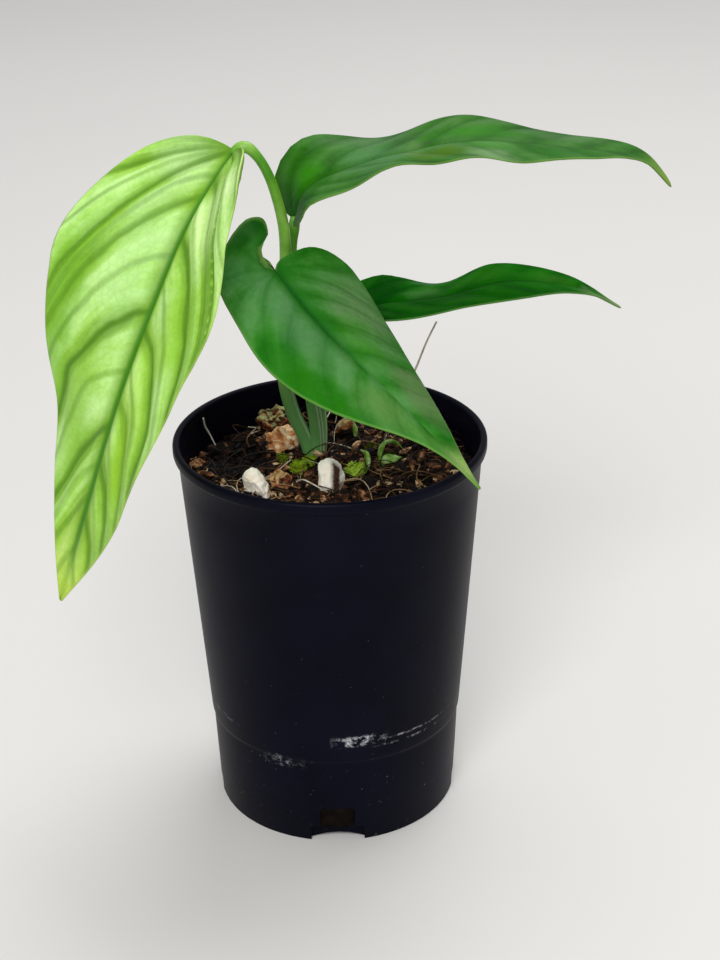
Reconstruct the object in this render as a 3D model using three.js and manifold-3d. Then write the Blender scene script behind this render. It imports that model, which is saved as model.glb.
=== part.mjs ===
// A young monstera obliqua with four leaves, potted in a black nursery pot.
// Millimetres, +Z up. The pot stands on z = 0 with its axis on the origin, and the front of the
// plant, which the open face of the left leaf looks towards, is -Y.
import * as THREE from 'three';
import { mergeVertices } from 'three/addons/utils/BufferGeometryUtils.js';
import Module from 'manifold-3d';

const wasm = await Module();
wasm.setup();

// Pot: a thin moulded shell, wider at the top, with a small step where pots nest
const potHeight = 118;
const rimRadius = 46;
const rimDepth = 4;
const lipFootRadius = 44.6;
const baseRadius = 36.6;
const stepHeight = 29;
const stepRadius = 37.9;
const stepWidth = 0.4;
const stepRise = 0.6;
const wall = 1.2;
const footHeight = 2.6;
const padRadius = 14;
const potSides = 48;

// Drainage: four openings in the foot, a wide low notch under a narrower slot, and round holes
const notchCount = 4;
const notchWidth = 16;
const notchHeight = 5;
const slotWidth = 10.5;
const slotHeight = 12;
const drainRadius = 3;
const drainPitchRadius = 25;

// Potting mix: its level, the gap it keeps to its neighbours, and the chips on its surface
const mixLevel = 105;
const gap = 0.35;
const chipCount = 54;

// Blades and their raised midribs
const bladeThickness = 0.9;
const ribHeight = 0.9;
const ribHalfWidth = 1.8;
const sweep = 0.7;

// Length of the hollow in a lobe's inner edge and how far it reaches out, and the softness of
// the lean of the lobes
const sinusLength = 11;
const sinusReach = 6;
const leanSoftness = 6;

const colours = {
  pot: 0x15161f,
  mix: 0x3a2519,
  stem: 0x4d6b2c,
  youngLeaf: 0x93b845,
  leaf: 0x2f6b2a,
  pumice: 0xe2ddd2,
  bark: 0x8a5a35,
  paleBark: 0xa89a72,
  fibre: 0xb9a58a,
};

// The four leaves. midrib: points of the midrib from the stalk to the tip.
// face: which way the upper side looks, at even stations from base to tip.
// half: half widths of the blade, near (+) side then far (-) side, as for every pair below.
// lobe, shoulder: how far a basal lobe reaches behind the stalk and where it turns.
// full: how squarely the margin turns from the shoulder to the widest place.
// widest, taper, blunt: place of the full width, fullness towards the tip, radius of the tip.
// fold: angle of each half above flat at the midrib; curl: further bend out to the margin.
// lobeBend: upward bend of the lobes behind the stalk, in radians for each mm.
// lobeIn: how strongly a lobe leans in over the stalk; sinus: mm that its inner edge is hollowed.
// wave: height, wavelength and phase of the waved margin.
const leaves = {
  leaf_a_young: {
    midrib: [
      [-24.3, -6, 204.9], [-30.5, -11.5, 197.4], [-38.6, -18.6, 185.2],
      [-47.2, -26.1, 167.4], [-58.8, -33.2, 139.4], [-74.5, -35.9, 88.1],
    ],
    face: [[-0.48, -0.53, 0.86], [-0.45, -0.44, 0.68], [-0.54, -0.5, 0.45], [-0.51, -0.61, 0.35]],
    half: [36.8, 33],
    lobe: [1.5, 0.5],
    shoulder: [0.23, 0.1],
    full: [0.36, 0.48],
    widest: 0.26,
    taper: 0.58,
    blunt: 3.2,
    fold: [[6, 17.5, 0, 0], [39, 17, 11, 5]],
    curl: [[-7, -2, -9, -20], [-9, -7, 6.7, -8.5]],
    lobeBend: [0, 0],
    lobeIn: [0, 0],
    sinus: [0, 0],
    wave: [[0.7, 34, 0.5], [0.5, 30, 1.5]],
    colour: colours.youngLeaf,
  },
  leaf_b_upper: {
    midrib: [
      [-8.4, 2.8, 183.2], [-4.6, 3.7, 191.7], [7, 4.9, 196.9], [24.7, 6.2, 201],
      [42.6, 7.2, 203.3], [71.6, 8.1, 200.4], [88, 8.2, 197.4], [97.3, 8.2, 188.8],
    ],
    face: [[-0.64, -0.33, 0.27], [-0.21, 0.01, 0.85], [0.03, -0.06, 1.07], [0.2, -0.06, 1.05]],
    half: [22.2, 26],
    lobe: [0.6, 0.6],
    shoulder: [0.3, 0.3],
    full: [0.55, 0.34],
    widest: 0.26,
    taper: 0.3,
    blunt: 2.2,
    fold: [[29, 11, 8, 8], [-4, -2, 7, 0, 10]],
    curl: [[-13, -10, -21, 8.5], [5, -6, -18, 7]],
    lobeBend: [0, 0],
    lobeIn: [0, 0],
    sinus: [0, 0],
    wave: [[0.9, 30, 0], [0.9, 34, 1.5]],
    colour: colours.leaf,
  },
  leaf_c_front: {
    midrib: [
      [-13.1, -15.8, 174.3], [-7.2, -22.6, 168.5], [2.7, -32, 159.9],
      [17.7, -42.4, 148.2], [29.8, -48.7, 137], [40.3, -52.4, 124.9],
    ],
    face: [[0.3, -0.26, 0.82], [0.07, -0.11, 0.93], [0.07, -0.13, 0.93]],
    half: [22.3, 22.9],
    lobe: [16.8, 4],
    shoulder: [0.54, 0.49],
    full: [0.1, 0.55],
    widest: 0.25,
    taper: 0.24,
    blunt: 0.8,
    fold: [[6, 4, 21], [15.7, -0.4, 0.9]],
    curl: [[-28.5, -33.7, -2], [-18.6, -24.3, -16.3]],
    lobeBend: [0.06, 0.015],
    lobeIn: [0.66, 0],
    sinus: [3.5, 0],
    wave: [[0.5, 30, 0], [0.5, 34, 1.5]],
    colour: colours.leaf,
  },
  leaf_d_lower: {
    midrib: [
      [2.1, 14.1, 149.6], [16.1, 9.8, 154.8], [33.3, 7.5, 157.5],
      [52.1, 8.8, 161.4], [72.6, 14.4, 157], [86.6, 20.9, 148],
    ],
    face: [[-0.39, 0.06, 0.78], [0.06, 0.08, 0.93], [0.2, -0.06, 1.04]],
    half: [19.2, 21.6],
    lobe: [6.2, 6.7],
    shoulder: [0.5, 0.52],
    full: [0.55, 0.55],
    widest: 0.31,
    taper: 0.26,
    blunt: 1.2,
    fold: [[10.8, 4, 5.8], [9.4, 3.5, 9.5]],
    curl: [[-7.2, -11.5, -1.8], [-9.3, -16, 1.8]],
    lobeBend: [0, 0],
    lobeIn: [0, 0],
    sinus: [0, 0],
    wave: [[0.8, 30, 0], [0.8, 34, 1.5]],
    colour: colours.leaf,
  },
};

// Leaf stalks, from the stem in the mix up to the foot of each blade, with their end radii
const stalks = {
  a: {
    points: [
      [-5.2, 14.6, 100], [-7.1, 14, 109.4], [-11.1, 12, 120.9], [-13, 9, 133.5],
      [-12.4, 5, 151.5], [-11.4, 1, 168.7], [-11.4, -2, 181.7], [-13.5, -4, 193.1],
      [-16.2, -5.5, 200.9], [-19.6, -6.2, 205.8], [-22.1, -6.2, 206.5], [-24.3, -6, 204.9],
    ],
    radii: [2.2, 1.9, 1.3],
  },
  b: {
    points: [
      [-4.6, 15, 98], [-3.5, 14.5, 109.1], [-4.5, 13, 122.3], [-7.7, 10, 144.9],
      [-9.4, 7, 166.5], [-9.3, 4.5, 176], [-8.4, 2.8, 183.2],
    ],
    radii: [2, 1.6, 1.3],
  },
  c: {
    points: [
      [-4.8, 14, 100], [-4.3, 13, 112.7], [-5.6, 8, 127.3], [-8.3, -2, 149.7],
      [-11.8, -11, 166.3], [-13.1, -15.8, 174.3],
    ],
    radii: [1.9, 1.5, 1.3],
  },
  d: {
    points: [
      [-4.2, 15.4, 98], [-2.6, 15, 109.8], [-2.4, 15, 121.3], [-1.1, 15, 136.3],
      [2.1, 14.1, 149.6],
    ],
    radii: [1.9, 1.5, 1.2],
  },
};
const stemFoot = new THREE.Vector3(-4.4, 15.2, 88);
const stemHead = new THREE.Vector3(-4.8, 14.6, 107);
const stemRadius = 3.1;

// Loose pieces on the mix: centre, size along their own axes, lean about X, Y and Z, and colour
const stones = {
  pumice_left: { at: [-21.5, -12.4, 107.2], size: [7, 7.6, 12], lean: [-0.35, -0.3, 0.2],
    colour: colours.pumice },
  pumice_front: { at: [-0.2, -8.6, 107.8], size: [8.6, 7.8, 12], lean: [-0.3, 0.1, 0.5],
    colour: colours.pumice },
  bark_nugget_back: { at: [-17.2, 30.4, 110.2], size: [10.5, 8.5, 9.5], lean: [0.3, 0.25, 0.5],
    colour: colours.paleBark },
  bark_nugget_orange: { at: [-15.5, 17.2, 107.8], size: [13, 8.8, 9], lean: [0.2, -0.3, 0.3],
    colour: colours.bark },
  bark_nugget_front: { at: [-14.8, -7.2, 107], size: [8.6, 8, 8], lean: [-0.2, 0.3, 0.9],
    colour: colours.bark },
  bark_chip_pale: { at: [3.8, 29.4, 107.4], size: [6.4, 5, 7.4], lean: [0.1, 0.2, 0.2],
    colour: colours.paleBark },
};

// One dry fibre that stands up out of the mix behind the front leaf
const fibre = {
  points: [[14.2, 25, 97], [17.6, 25, 107], [26.1, 25, 127.9], [29.3, 25.2, 136.2], [32.4, 25, 143]],
  radii: [0.45, 0.4, 0.35],
};

let randomState = 7;

function random() {
  randomState = (Math.imul(randomState, 1664525) + 1013904223) >>> 0;
  return randomState / 4294967296;
}

// Vertices are joined and the triangles that this flattens are dropped
function welded(geometry) {
  const bare = geometry.clone();
  bare.deleteAttribute('normal');
  bare.deleteAttribute('uv');
  const merged = mergeVertices(bare, 1e-3);
  const index = merged.index.array;
  const kept = [];
  for (let i = 0; i < index.length; i += 3) {
    const [a, b, c] = index.subarray(i, i + 3);
    if (a !== b && b !== c && c !== a) kept.push(a, b, c);
  }
  merged.setIndex(kept);
  return merged;
}

function toSolid(geometry) {
  const merged = welded(geometry);
  const mesh = new wasm.Mesh({
    numProp: 3,
    vertProperties: new Float32Array(merged.attributes.position.array),
    triVerts: new Uint32Array(merged.index.array),
  });
  return new wasm.Manifold(mesh);
}

function fromSolid(solid) {
  const mesh = solid.getMesh();
  const geometry = new THREE.BufferGeometry();
  geometry.setAttribute('position', new THREE.BufferAttribute(mesh.vertProperties, 3));
  geometry.setIndex(Array.from(mesh.triVerts));
  geometry.computeVertexNormals();
  return geometry;
}

// A lathe turned about the Z axis from [radius, height] pairs
function turned(profile, sides) {
  const points = profile.map(([r, z]) => new THREE.Vector2(r, z));
  return new THREE.LatheGeometry(points, sides).rotateX(Math.PI / 2);
}

function vectors(list) {
  return list.map(([x, y, z]) => new THREE.Vector3(x, y, z));
}

// Smooth value at u = 0 to 1 through even stations, level at both ends
function along(values, u) {
  const last = values.length - 1;
  const x = THREE.MathUtils.clamp(u, 0, 1) * last;
  const i = Math.min(Math.floor(x), last - 1);
  const f = x - i;
  const p0 = i > 0 ? values[i - 1] : values[1];
  const p1 = values[i];
  const p2 = values[i + 1];
  const p3 = i + 2 <= last ? values[i + 2] : values[last - 1];
  const linear = (p2 - p0) * f;
  const square = (2 * p0 - 5 * p1 + 4 * p2 - p3) * f * f;
  const cube = (3 * p1 - p0 - 3 * p2 + p3) * f * f * f;
  return 0.5 * (2 * p1 + linear + square + cube);
}

// A round stalk that follows a curve, its radius read along it, closed by a point at each end
function stalk(points, radii, sides, steps, grow = 0) {
  const curve = new THREE.CatmullRomCurve3(vectors(points), false, 'catmullrom', 0.5);
  const frames = curve.computeFrenetFrames(steps, false);
  const positions = [];
  const index = [];
  for (let i = 0; i <= steps; i++) {
    const u = i / steps;
    const centre = curve.getPointAt(u);
    const radius = along(radii, u) + grow;
    for (let j = 0; j < sides; j++) {
      const angle = (2 * Math.PI * j) / sides;
      const ring = frames.normals[i].clone().multiplyScalar(radius * Math.cos(angle));
      ring.addScaledVector(frames.binormals[i], radius * Math.sin(angle)).add(centre);
      positions.push(ring.x, ring.y, ring.z);
    }
  }
  for (let i = 0; i < steps; i++) {
    for (let j = 0; j < sides; j++) {
      const a = i * sides + j;
      const b = i * sides + ((j + 1) % sides);
      index.push(a, b, a + sides, b, b + sides, a + sides);
    }
  }
  for (const end of [0, 1]) {
    const tip = curve.getPointAt(end);
    const out = frames.tangents[end * steps].clone().multiplyScalar(end ? 1 : -1);
    tip.addScaledVector(out, 0.35 * along(radii, end) + grow);
    positions.push(tip.x, tip.y, tip.z);
    const apex = positions.length / 3 - 1;
    for (let j = 0; j < sides; j++) {
      const a = end * steps * sides + j;
      const b = end * steps * sides + ((j + 1) % sides);
      if (end) index.push(a, b, apex);
      else index.push(b, a, apex);
    }
  }
  const geometry = new THREE.BufferGeometry();
  geometry.setAttribute('position', new THREE.Float32BufferAttribute(positions, 3));
  geometry.setIndex(index);
  return geometry;
}

// Outline of one half of a flattened blade: distance along the midrib, distance out from it
function halfOutline(leaf, length, k) {
  const width = leaf.half[k];
  const lobe = leaf.lobe[k];
  const turn = leaf.shoulder[k] * width;
  const wide = leaf.widest * length;
  const { blunt } = leaf;
  const path = new THREE.Path();
  path.moveTo(0, 0);
  path.bezierCurveTo(-0.75 * lobe, 0, -lobe, 0.35 * turn, -lobe, turn);
  path.bezierCurveTo(-lobe, turn + 0.75 * (width - turn), wide - leaf.full[k] * (wide + lobe),
    width, wide, width);
  path.bezierCurveTo(wide + 0.45 * (length - wide), width, length - 0.35 * (length - wide),
    leaf.taper * width, length - blunt, blunt);
  path.bezierCurveTo(length - 0.45 * blunt, 0.9 * blunt, length, 0.55 * blunt, length, 0);
  return path.getPoints(40);
}

// Rulings of one half: the lobe's fan from the foot of the midrib, then even steps to the tip,
// each swept forwards as the side veins are
function rulings(outline, length, fan, steps) {
  const feet = outline.map((p) => Math.max(0, p.x - sweep * p.y));
  let first = outline.length - 1;
  while (feet[first] > 0) first--;
  const result = [];
  for (let i = 0; i <= fan; i++) {
    const x = (first * i) / fan;
    const j = Math.min(Math.floor(x), outline.length - 2);
    result.push({ foot: 0, edge: outline[j].clone().lerp(outline[j + 1], x - j) });
  }
  let j = first;
  for (let i = 1; i <= steps; i++) {
    const foot = (length * i) / steps;
    while (j < outline.length - 2 && feet[j + 1] < foot) j++;
    const f = THREE.MathUtils.clamp((foot - feet[j]) / (feet[j + 1] - feet[j]), 0, 1);
    result.push({ foot, edge: outline[j].clone().lerp(outline[j + 1], f) });
  }
  return result;
}

// The point of a bent blade that lies at (s, w) on the flat one
function bladePoint(leaf, midrib, length, k, s, w) {
  const side = k ? -1 : 1;
  const u = THREE.MathUtils.clamp(s / length, 0, 1);
  const tangent = midrib.getTangentAt(u);
  const normal = new THREE.Vector3(...[0, 1, 2].map((i) => along(leaf.face.map((f) => f[i]), u)));
  normal.addScaledVector(tangent, -normal.dot(tangent)).normalize();
  const out = new THREE.Vector3().crossVectors(tangent, normal).multiplyScalar(side);
  const point = midrib.getPointAt(u);
  const behind = Math.min(s, 0);
  const bend = leaf.lobeBend[k];
  const turn = bend * behind;
  point.addScaledVector(tangent, bend ? Math.sin(turn) / bend : behind);
  point.addScaledVector(normal, bend ? (1 - Math.cos(turn)) / bend : 0);
  normal.multiplyScalar(Math.cos(turn)).addScaledVector(tangent, -Math.sin(turn));
  const fold = THREE.MathUtils.degToRad(along(leaf.fold[k], u));
  const curl = THREE.MathUtils.degToRad(along(leaf.curl[k], u)) / leaf.half[k] || 1e-6;
  const lean = (leaf.lobeIn[k] * behind ** 2) / (leanSoftness - behind);
  const hollow = Math.sin(Math.PI * THREE.MathUtils.clamp(-s / sinusLength, 0, 1));
  const flatOut = w - lean + leaf.sinus[k] * hollow * Math.exp(-(w - lean) / sinusReach);
  const tilt = fold + curl * flatOut;
  point.addScaledVector(out, (Math.sin(tilt) - Math.sin(fold)) / curl);
  point.addScaledVector(normal, (Math.cos(fold) - Math.cos(tilt)) / curl);
  const [height, wavelength, phase] = leaf.wave[k];
  const fadeIn = THREE.MathUtils.clamp(s / (0.12 * length), 0, 1);
  const fadeOut = THREE.MathUtils.clamp((length - s) / (0.25 * length), 0, 1);
  const share = (flatOut / leaf.half[k]) ** 2;
  const rise = height * share * Math.sin((2 * Math.PI * s) / wavelength + phase);
  const lift = rise * fadeIn * fadeOut;
  point.addScaledVector(normal, lift * Math.cos(tilt));
  point.addScaledVector(out, -lift * Math.sin(tilt));
  return point;
}

// A closed blade: the bent sheet, its copy below it with a raised midrib, and the edge between
function blade(leaf) {
  const midrib = new THREE.CatmullRomCurve3(vectors(leaf.midrib), false, 'catmullrom', 0.5);
  midrib.arcLengthDivisions = 600;
  const length = midrib.getLength();
  const columns = 6;
  const triangles = [];
  for (const k of [0, 1]) {
    const lines = rulings(halfOutline(leaf, length, k), length, 5, 17);
    const grid = lines.map(({ foot, edge }) => {
      const row = [];
      for (let j = 0; j <= columns; j++) {
        const inner = Math.min(ribHalfWidth / Math.max(edge.y, 1e-6), 1 / columns);
        const r = j < 1 ? 0 : inner + ((1 - inner) * (j - 1)) / (columns - 1);
        const s = foot + (edge.x - foot) * r;
        row.push(bladePoint(leaf, midrib, length, k, s, edge.y * r));
      }
      return row;
    });
    for (let i = 0; i < grid.length - 1; i++) {
      for (let j = 0; j < columns; j++) {
        const quad = [grid[i][j], grid[i + 1][j], grid[i + 1][j + 1], grid[i][j + 1]];
        const order = k ? [0, 1, 2, 0, 2, 3] : [0, 2, 1, 0, 3, 2];
        for (const corner of order) triangles.push(...quad[corner].toArray());
      }
    }
  }
  const soup = new THREE.BufferGeometry();
  soup.setAttribute('position', new THREE.Float32BufferAttribute(triangles, 3));
  const sheet = welded(soup);
  sheet.computeVertexNormals();
  return thickened(sheet, midrib, length);
}

function thickened(sheet, midrib, length) {
  const count = sheet.attributes.position.count;
  const position = sheet.attributes.position;
  const normal = sheet.attributes.normal;
  const spine = [];
  for (let i = 0; i <= 300; i++) spine.push(midrib.getPointAt(i / 300));
  const vertices = new Float32Array(count * 6);
  for (let i = 0; i < count; i++) {
    const p = new THREE.Vector3().fromBufferAttribute(position, i);
    const n = new THREE.Vector3().fromBufferAttribute(normal, i);
    let near = 0;
    for (let j = 1; j <= 300; j++) {
      if (spine[j].distanceToSquared(p) < spine[near].distanceToSquared(p)) near = j;
    }
    const onRib = spine[near].distanceTo(p) < 0.35 && near > 0 && near < 298;
    const rib = onRib ? ribHeight * (1 - near / 330) : 0;
    p.clone().addScaledVector(n, bladeThickness / 2).toArray(vertices, i * 3);
    p.clone().addScaledVector(n, -bladeThickness / 2 - rib).toArray(vertices, (count + i) * 3);
  }
  const index = [];
  const faces = sheet.index.array;
  const edges = new Map();
  for (let i = 0; i < faces.length; i += 3) {
    const [a, b, c] = faces.slice(i, i + 3);
    index.push(a, b, c, count + a, count + c, count + b);
    for (const [p, q] of [[a, b], [b, c], [c, a]]) {
      if (edges.has(`${q},${p}`)) edges.delete(`${q},${p}`);
      else edges.set(`${p},${q}`, [p, q]);
    }
  }
  for (const [p, q] of edges.values()) index.push(q, p, count + p, count + p, count + q, q);
  const geometry = new THREE.BufferGeometry();
  geometry.setAttribute('position', new THREE.BufferAttribute(vertices, 3));
  geometry.setIndex(index);
  return geometry;
}

// A broken stone or bark nugget: a coarse ball with each corner moved in or out a little
function lump({ at, size, lean }, grow = 1) {
  const geometry = welded(new THREE.IcosahedronGeometry(0.5, 1));
  const position = geometry.attributes.position;
  const p = new THREE.Vector3();
  for (let i = 0; i < position.count; i++) {
    p.fromBufferAttribute(position, i);
    const dent = 1 + 0.13 * Math.sin(7.3 * i + size[0]) * Math.cos(3.1 * i + size[2]);
    p.multiplyScalar(dent * grow).toArray(position.array, i * 3);
  }
  geometry.scale(...size);
  geometry.rotateX(lean[0]).rotateY(lean[1]).rotateZ(lean[2]);
  geometry.translate(...at);
  return geometry;
}

const outerWall = (z) => {
  const lipFoot = potHeight - rimDepth;
  const below = baseRadius + ((stepRadius - baseRadius) * z) / stepHeight;
  const share = (lipFoot - z) / (lipFoot - stepHeight);
  const above = lipFootRadius - (lipFootRadius - stepRadius - stepWidth) * share;
  return z < stepHeight ? below : above;
};

function pot() {
  const lipTop = potHeight;
  const lipFoot = potHeight - rimDepth;
  const shell = toSolid(turned([
    [0, 0],
    [padRadius - 1, 0],
    [padRadius + 1, footHeight],
    [baseRadius - 3, footHeight],
    [baseRadius - 1.5, 0],
    [baseRadius, 0],
    [outerWall(stepHeight - 0.01), stepHeight],
    [outerWall(stepHeight) + 0.1, stepHeight + stepRise],
    [outerWall(lipFoot), lipFoot],
    [rimRadius, lipFoot + 0.8],
    [rimRadius, lipTop - 1],
    [rimRadius - 0.6, lipTop - 0.2],
    [rimRadius - 1.3, lipTop],
    [rimRadius - 2, lipTop - 0.6],
    [outerWall(lipFoot) - wall, lipFoot],
    [outerWall(stepHeight) + 0.1 - wall, stepHeight + stepRise],
    [outerWall(stepHeight - 0.01) - wall, stepHeight - 0.8],
    [outerWall(footHeight + wall) - wall, footHeight + wall],
    [padRadius + 0.4, footHeight + wall],
    [padRadius - 1.6, wall],
    [0, wall],
  ], potSides));
  const cuts = [];
  for (let i = 0; i < notchCount; i++) {
    const angle = (2 * Math.PI * i) / notchCount;
    const notch = new THREE.BoxGeometry(notchWidth, 6, notchHeight + 1);
    notch.translate(0, -baseRadius - 0.6, (notchHeight - 1) / 2);
    cuts.push(toSolid(notch.rotateZ(angle)));
    const slot = new THREE.BoxGeometry(slotWidth, 6, slotHeight);
    slot.translate(0, -baseRadius - 0.6, slotHeight / 2);
    cuts.push(toSolid(slot.rotateZ(angle)));
    const drain = new THREE.CylinderGeometry(drainRadius, drainRadius, 8, 12).rotateX(Math.PI / 2);
    drain.translate(0, -drainPitchRadius, footHeight);
    cuts.push(toSolid(drain.rotateZ(angle + Math.PI / 4)));
  }
  return fromSolid(cuts.reduce((solid, cut) => solid.subtract(cut), shell));
}

// The stem and its four stalks, joined; grown, it is the room that its neighbours leave for it
function stemSolid(grow = 0) {
  const main = stalk([stemFoot.toArray(), stemHead.toArray()], [stemRadius, 2.9, 2.6], 10, 3, grow);
  let solid = toSolid(main);
  for (const { points, radii } of Object.values(stalks)) {
    solid = solid.add(toSolid(stalk(points, radii, 7, points.length * 2, grow)));
  }
  return solid;
}

// The mix: one filling of the pot, with chips of bark raised on it and holes and dimples in it
function pottingMix() {
  const top = mixLevel;
  const inner = (z) => outerWall(z) - wall - gap;
  let solid = toSolid(turned([
    [0, wall + gap],
    [padRadius - 2, wall + gap],
    [padRadius, footHeight + wall + gap],
    [inner(4), footHeight + wall + gap],
    [inner(stepHeight - 0.9), stepHeight - 0.9],
    [inner(stepHeight), stepHeight + stepRise + 0.2],
    [inner(top), top - 1.6],
    [inner(top) - 4, top - 0.4],
    [24, top + 0.7],
    [10, top],
    [0, top + 0.6],
  ], 32));
  for (let i = 0; i < chipCount; i++) {
    const radius = 38 * Math.sqrt((i + 0.5) / chipCount);
    const angle = 2.39996 * i + 0.5 * random();
    const chip = new THREE.CylinderGeometry(2.2 + random(), 3 + random(), 3.4, 5);
    chip.scale(1.2 + 0.5 * random(), 1, 0.7 + 0.2 * random());
    chip.rotateX(Math.PI / 2 + 0.7 * (random() - 0.5));
    chip.rotateY(0.7 * (random() - 0.5)).rotateZ(6.3 * random());
    const reach = Math.min(radius, inner(top) - 6.2);
    chip.translate(reach * Math.cos(angle), reach * Math.sin(angle), top - 0.4 + random());
    solid = solid.add(toSolid(chip));
  }
  solid = solid.subtract(stemSolid(gap));
  for (const stone of Object.values(stones)) {
    const grow = 1 + (2.6 * gap) / Math.min(...stone.size);
    for (const rise of [0, 3, 6]) {
      const [x, y, z] = stone.at;
      solid = solid.subtract(toSolid(lump({ ...stone, at: [x, y, z + rise] }, grow)));
    }
  }
  solid = solid.subtract(toSolid(stalk(fibre.points, fibre.radii, 6, 8, gap)));
  return fromSolid(solid.decompose().sort((a, b) => b.volume() - a.volume())[0]);
}

function mesh(name, geometry, color, roughness) {
  const material = new THREE.MeshStandardMaterial({ color, roughness, metalness: 0 });
  const piece = new THREE.Mesh(geometry, material);
  piece.name = name;
  return piece;
}

const group = new THREE.Group();
group.add(mesh('pot', pot(), colours.pot, 0.45));
group.add(mesh('potting_mix', pottingMix(), colours.mix, 0.95));
group.add(mesh('stem', fromSolid(stemSolid()), colours.stem, 0.5));
const stalkRoom = stemSolid(gap);
for (const [name, leaf] of Object.entries(leaves)) {
  const solid = toSolid(blade(leaf)).subtract(stalkRoom);
  const whole = solid.decompose().sort((a, b) => b.volume() - a.volume())[0];
  group.add(mesh(name, fromSolid(whole), leaf.colour, 0.4));
}
for (const [name, stone] of Object.entries(stones)) {
  group.add(mesh(name, lump(stone), stone.colour, 0.9));
}
group.add(mesh('dry_fibre', stalk(fibre.points, fibre.radii, 6, 8), colours.fibre, 0.7));

export default group;
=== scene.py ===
# A young monstera obliqua with four leaves in a black nursery pot, dressed around its packed
# solids. Sizes are in millimetres in the frame's axes and meshes are made in metres. The pot
# stands on z = 0 with its axis on the origin, and the front of the plant is -Y. A noise scale of
# 1000 / 24 gives grains about 24 mm wide; on a UV map in millimetres it is 1 / 24.
import math

import bmesh
import bpy
import numpy as np
from mathutils import Matrix, Vector, noise


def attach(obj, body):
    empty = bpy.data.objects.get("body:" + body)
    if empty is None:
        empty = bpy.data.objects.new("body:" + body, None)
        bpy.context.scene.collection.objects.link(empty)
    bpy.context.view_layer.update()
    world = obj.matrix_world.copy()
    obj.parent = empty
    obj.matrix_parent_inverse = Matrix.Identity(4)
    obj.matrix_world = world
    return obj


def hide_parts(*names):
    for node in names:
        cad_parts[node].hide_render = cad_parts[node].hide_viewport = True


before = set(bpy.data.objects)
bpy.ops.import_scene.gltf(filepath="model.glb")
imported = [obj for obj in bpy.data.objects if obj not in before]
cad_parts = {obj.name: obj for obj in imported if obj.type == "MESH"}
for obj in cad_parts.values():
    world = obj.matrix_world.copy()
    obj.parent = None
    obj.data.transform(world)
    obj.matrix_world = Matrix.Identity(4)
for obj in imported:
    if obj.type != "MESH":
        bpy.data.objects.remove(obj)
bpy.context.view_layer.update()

# Camera, floor and lamps. The camera looks down on the plant from the front by 26 degrees. A
# plain pale matt floor, an even white surround and two large soft lamps light it, the stronger
# lamp above the plant at the front left.
eye = Vector((0.0043, -0.5224, 0.3559))
aim = Vector((0.0086, 0, 0.1031))
lean = math.radians(-0.893)
lens_length = 73.6
floor_half = 4000
surround_colour = 0xF7F9FC
surround_strength = 0.48
lamps = {
    "front_lamp": {"at": (-0.25, -1.25, 1.15), "size": 0.9, "power": 20},
    "top_lamp": {"at": (0.35, 0.6, 1.4), "size": 1.1, "power": 13},
}
floor_colour = 0xD2D0CC


def linear(colour):
    """The linear colour of an sRGB hex value such as 0x2f6b2a."""
    parts = [((colour >> shift) & 255) / 255 for shift in (16, 8, 0)]
    return [c / 12.92 if c <= 0.04045 else ((c + 0.055) / 1.055) ** 2.4 for c in parts] + [1]


def add(tree, kind, inputs=(), stops=(), out=0, **settings):
    """Adds a node of a kind such as "TexNoise" or "Math ADD", or takes one that is there, with its
    settings, its inputs, each a value or a link, in their order or by name, and the (position,
    colour) stops of a ramp. Gives one of its outputs."""
    node = kind
    if isinstance(kind, str):
        kind, _, operation = kind.partition(" ")
        node = tree.nodes.new(kind if "Node" in kind else "ShaderNode" + kind)
        if operation:
            node.operation = operation
    for name, value in settings.items():
        setattr(node, name, value)
    live = [socket for socket in node.inputs if socket.enabled]
    filled = inputs if isinstance(inputs, dict) else dict(enumerate(inputs))
    for key, value in filled.items():
        socket = live[key] if isinstance(key, int) else next(s for s in live if s.name == key)
        if isinstance(value, bpy.types.NodeSocket):
            tree.links.new(value, socket)
        else:
            socket.default_value = value
    if stops:
        elements = node.color_ramp.elements
        while len(elements) < len(stops):
            elements.new(1)
        for element, (position, colour) in zip(elements, stops):
            element.position = position
            element.color = linear(colour)
    if isinstance(out, str):
        return node.outputs[out]
    live = [socket for socket in node.outputs if socket.enabled]
    return live[out] if live else node


def new_finish(name, constants):
    """A named material, its tree, its shader with the constants set on it, and the place of each
    point of a piece that wears it."""
    material = bpy.data.materials.new(name)
    material.use_nodes = True
    tree = material.node_tree
    shader = tree.nodes["Principled BSDF"]
    for socket, value in constants.items():
        shader.inputs[socket].default_value = value
    return material, tree, shader, add(tree, "TexCoord", out="Object")


def piece(name, vertices, faces, materials):
    """A smooth mesh object in metres from vertices in millimetres."""
    mesh = bpy.data.meshes.new(name)
    mesh.from_pydata((np.asarray(vertices, float) / 1000).tolist(), [], faces)
    for material in materials:
        mesh.materials.append(material)
    mesh.polygons.foreach_set("use_smooth", [True] * len(mesh.polygons))
    mesh.update()
    made = bpy.data.objects.new(name, mesh)
    bpy.context.scene.collection.objects.link(made)
    return made


lens = bpy.data.cameras.new("camera")
lens.lens = lens_length
lens.clip_start = 0.05
camera = bpy.data.objects.new("camera", lens)
turn = (aim - eye).to_track_quat("-Z", "Y").to_matrix() @ Matrix.Rotation(lean, 3, "Z")
camera.matrix_world = Matrix.Translation(eye) @ turn.to_4x4()
bpy.context.scene.collection.objects.link(camera)
bpy.context.scene.camera = camera
bpy.context.scene.view_settings.view_transform = "Standard"

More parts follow.
